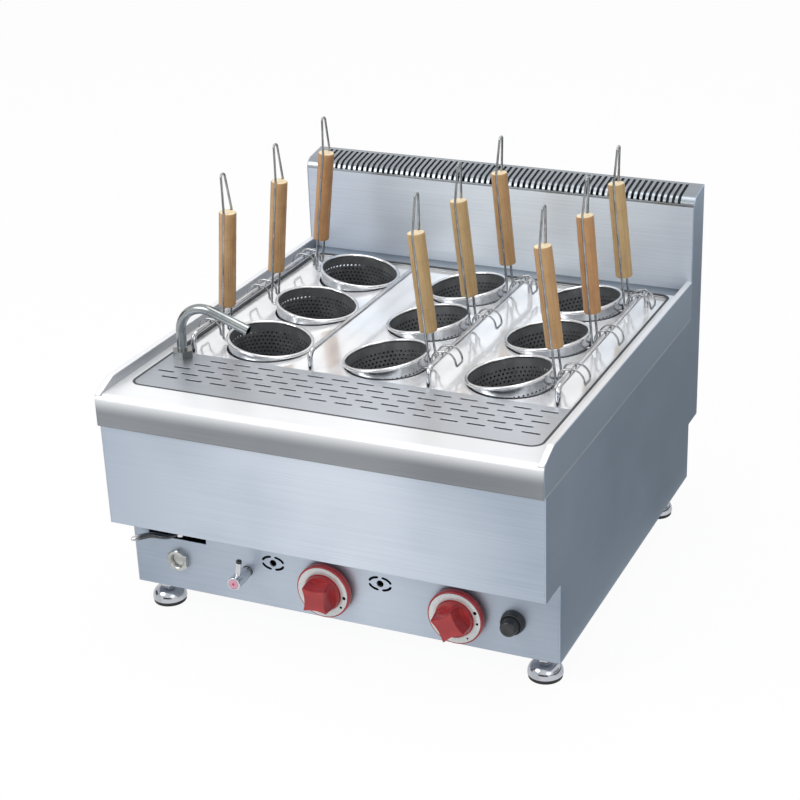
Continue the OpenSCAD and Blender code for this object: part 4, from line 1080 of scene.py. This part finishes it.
def makeTap():
    g = tap
    radius, start, end, index = g["radius"], g["start"], g["end"], g["index"]
    floor = end - g["recess"]
    axis = shift(g["x"], panelFace, g["z"]) @ turn(90, "X")
    body = [(g["bore"], start + 5), (g["bore"], start), (radius - 2.0, start), (radius - 1.2, start + 1.2),
            (radius - 1.0, start + 9), (radius, start + 11)]
    body += rounded((radius, start + 11), (radius, end), (0, end), 1.4)
    body += [(index + 0.4, end), (index + 0.2, floor), (0, floor)]
    barrel = makeMesh("tapBarrel", *lathe(body, 56), [metal["chrome"]])
    putPiece("tap_barrel", barrel, "tap", axis, ["tap_handle"])
    disc = [(0, floor), (index, floor), (index, end - 0.1), (index - 0.6, end + 0.2), (0, end + 0.35)]
    putPiece("tap_index", makeMesh("tapIndex", *lathe(disc, 40), [indexFinish()]), "tap", axis)

    pin, pinEnd, pinTop = g["pin"], g["pinEnd"], g["pinTop"]
    pinAxis = shift(g["x"], panelFace - g["pinAt"], g["z"]) @ turn(g["lean"], "Y")
    stick = [(0, 4.0), (pin - 0.3, 4.0), (pin - 0.3, 12.0), (pin, 14.0), (pin, 24.0)]
    stick += rounded((pin, 24.0), (pin, pinEnd), (0, pinEnd), 1.0) + [(0, pinEnd)]
    putPiece("tap_pin", makeMesh("tapPin", *lathe(stick, 32), [metal["chrome"]]), "tap", pinAxis)
    wide, low = pin - 0.2, pinEnd - 0.2
    tip = [(0, low), (wide, low)] + rounded((wide, low), (wide, pinTop), (0, pinTop), 1.6) + [(0, pinTop)]
    tipMesh = makeMesh("tapPinTip", *lathe(tip, 32), [plastic["blackPlastic"]])
    putPiece("tap_pin_tip", tipMesh, "tap", pinAxis)


makeTap()

feet = {"front_left": (-271, -243), "front_right": (271, -243), "rear_left": (-271, 227),
        "rear_right": (271, 227)}
footShape = {"pad": 22.0, "padHigh": 5.2, "bell": 23.0, "bellLow": 5.2, "bellRim": 1.6, "bellHigh": 22.0,
             "neck": 10.0, "top": 38.0, "stem": 6.0, "stemTop": 52.0, "pitch": 1.5, "thread": 0.6}


def makeFeet():
    s = footShape
    pad, padHigh, bell, neck = s["pad"], s["padHigh"], s["bell"], s["neck"]
    low, high, top, stem = s["bellLow"], s["bellHigh"], s["top"], s["stem"]
    padLine = [(0, 0.0), (pad - 1.2, 0.0)] + rounded((pad - 2, 0.0), (pad, 0.0), (pad, 3.0), 1.2)
    padLine += [(pad, padHigh - 0.8), (pad - 0.8, padHigh), (0, padHigh)]
    rim = low + s["bellRim"]
    bellLine = [(0, low), (bell - 0.6, low), (bell, low + 0.6), (bell, rim)]
    for i in range(1, 12):
        a = math.radians(90 * i / 12)
        bellLine.append((neck + (bell - neck) * math.cos(a), rim + (high - rim) * math.sin(a)))
    bellLine += [(neck, high), (neck - 1.0, high + 0.2), (0, high + 0.2)]
    nutLine = [(neck * 0.93, high + 0.2), (neck, high + 1.2), (neck, top - 1.4), (neck * 0.93, top - 0.4)]
    start, pitch = top - 0.5, s["pitch"]
    stemLine = [(0, start)]
    for i in range(int((s["stemTop"] - top) / pitch)):
        z = start + pitch * i
        stemLine += [(stem - s["thread"], z), (stem, z + pitch / 2)]
    stemLine += [(stem - 0.8, s["stemTop"]), (0, s["stemTop"])]
    nutMesh = makeMesh("footNut", *sixSided(nutLine), [metal["chrome"]], sharp=25)
    padMesh = makeMesh("footPad", *lathe(padLine, 56), [plastic["rubber"]])
    bellMesh = makeMesh("footBell", *lathe(bellLine, 64), [metal["bell"]], sharp=50)
    stemMesh = makeMesh("footStem", *lathe(stemLine, 32), [metal["fitting"]], sharp=60)
    for name, (x, y) in feet.items():
        body = "foot_" + name
        at = shift(x, y, 0)
        putPiece(name + "_foot_bell", bellMesh, body, at, [name + "_foot"])
        putPiece(name + "_foot_pad", padMesh, body, at)
        putPiece(name + "_foot_nut", nutMesh, body, at)
        putPiece(name + "_foot_stem", stemMesh, body, at)


makeFeet()
print("small fittings made")
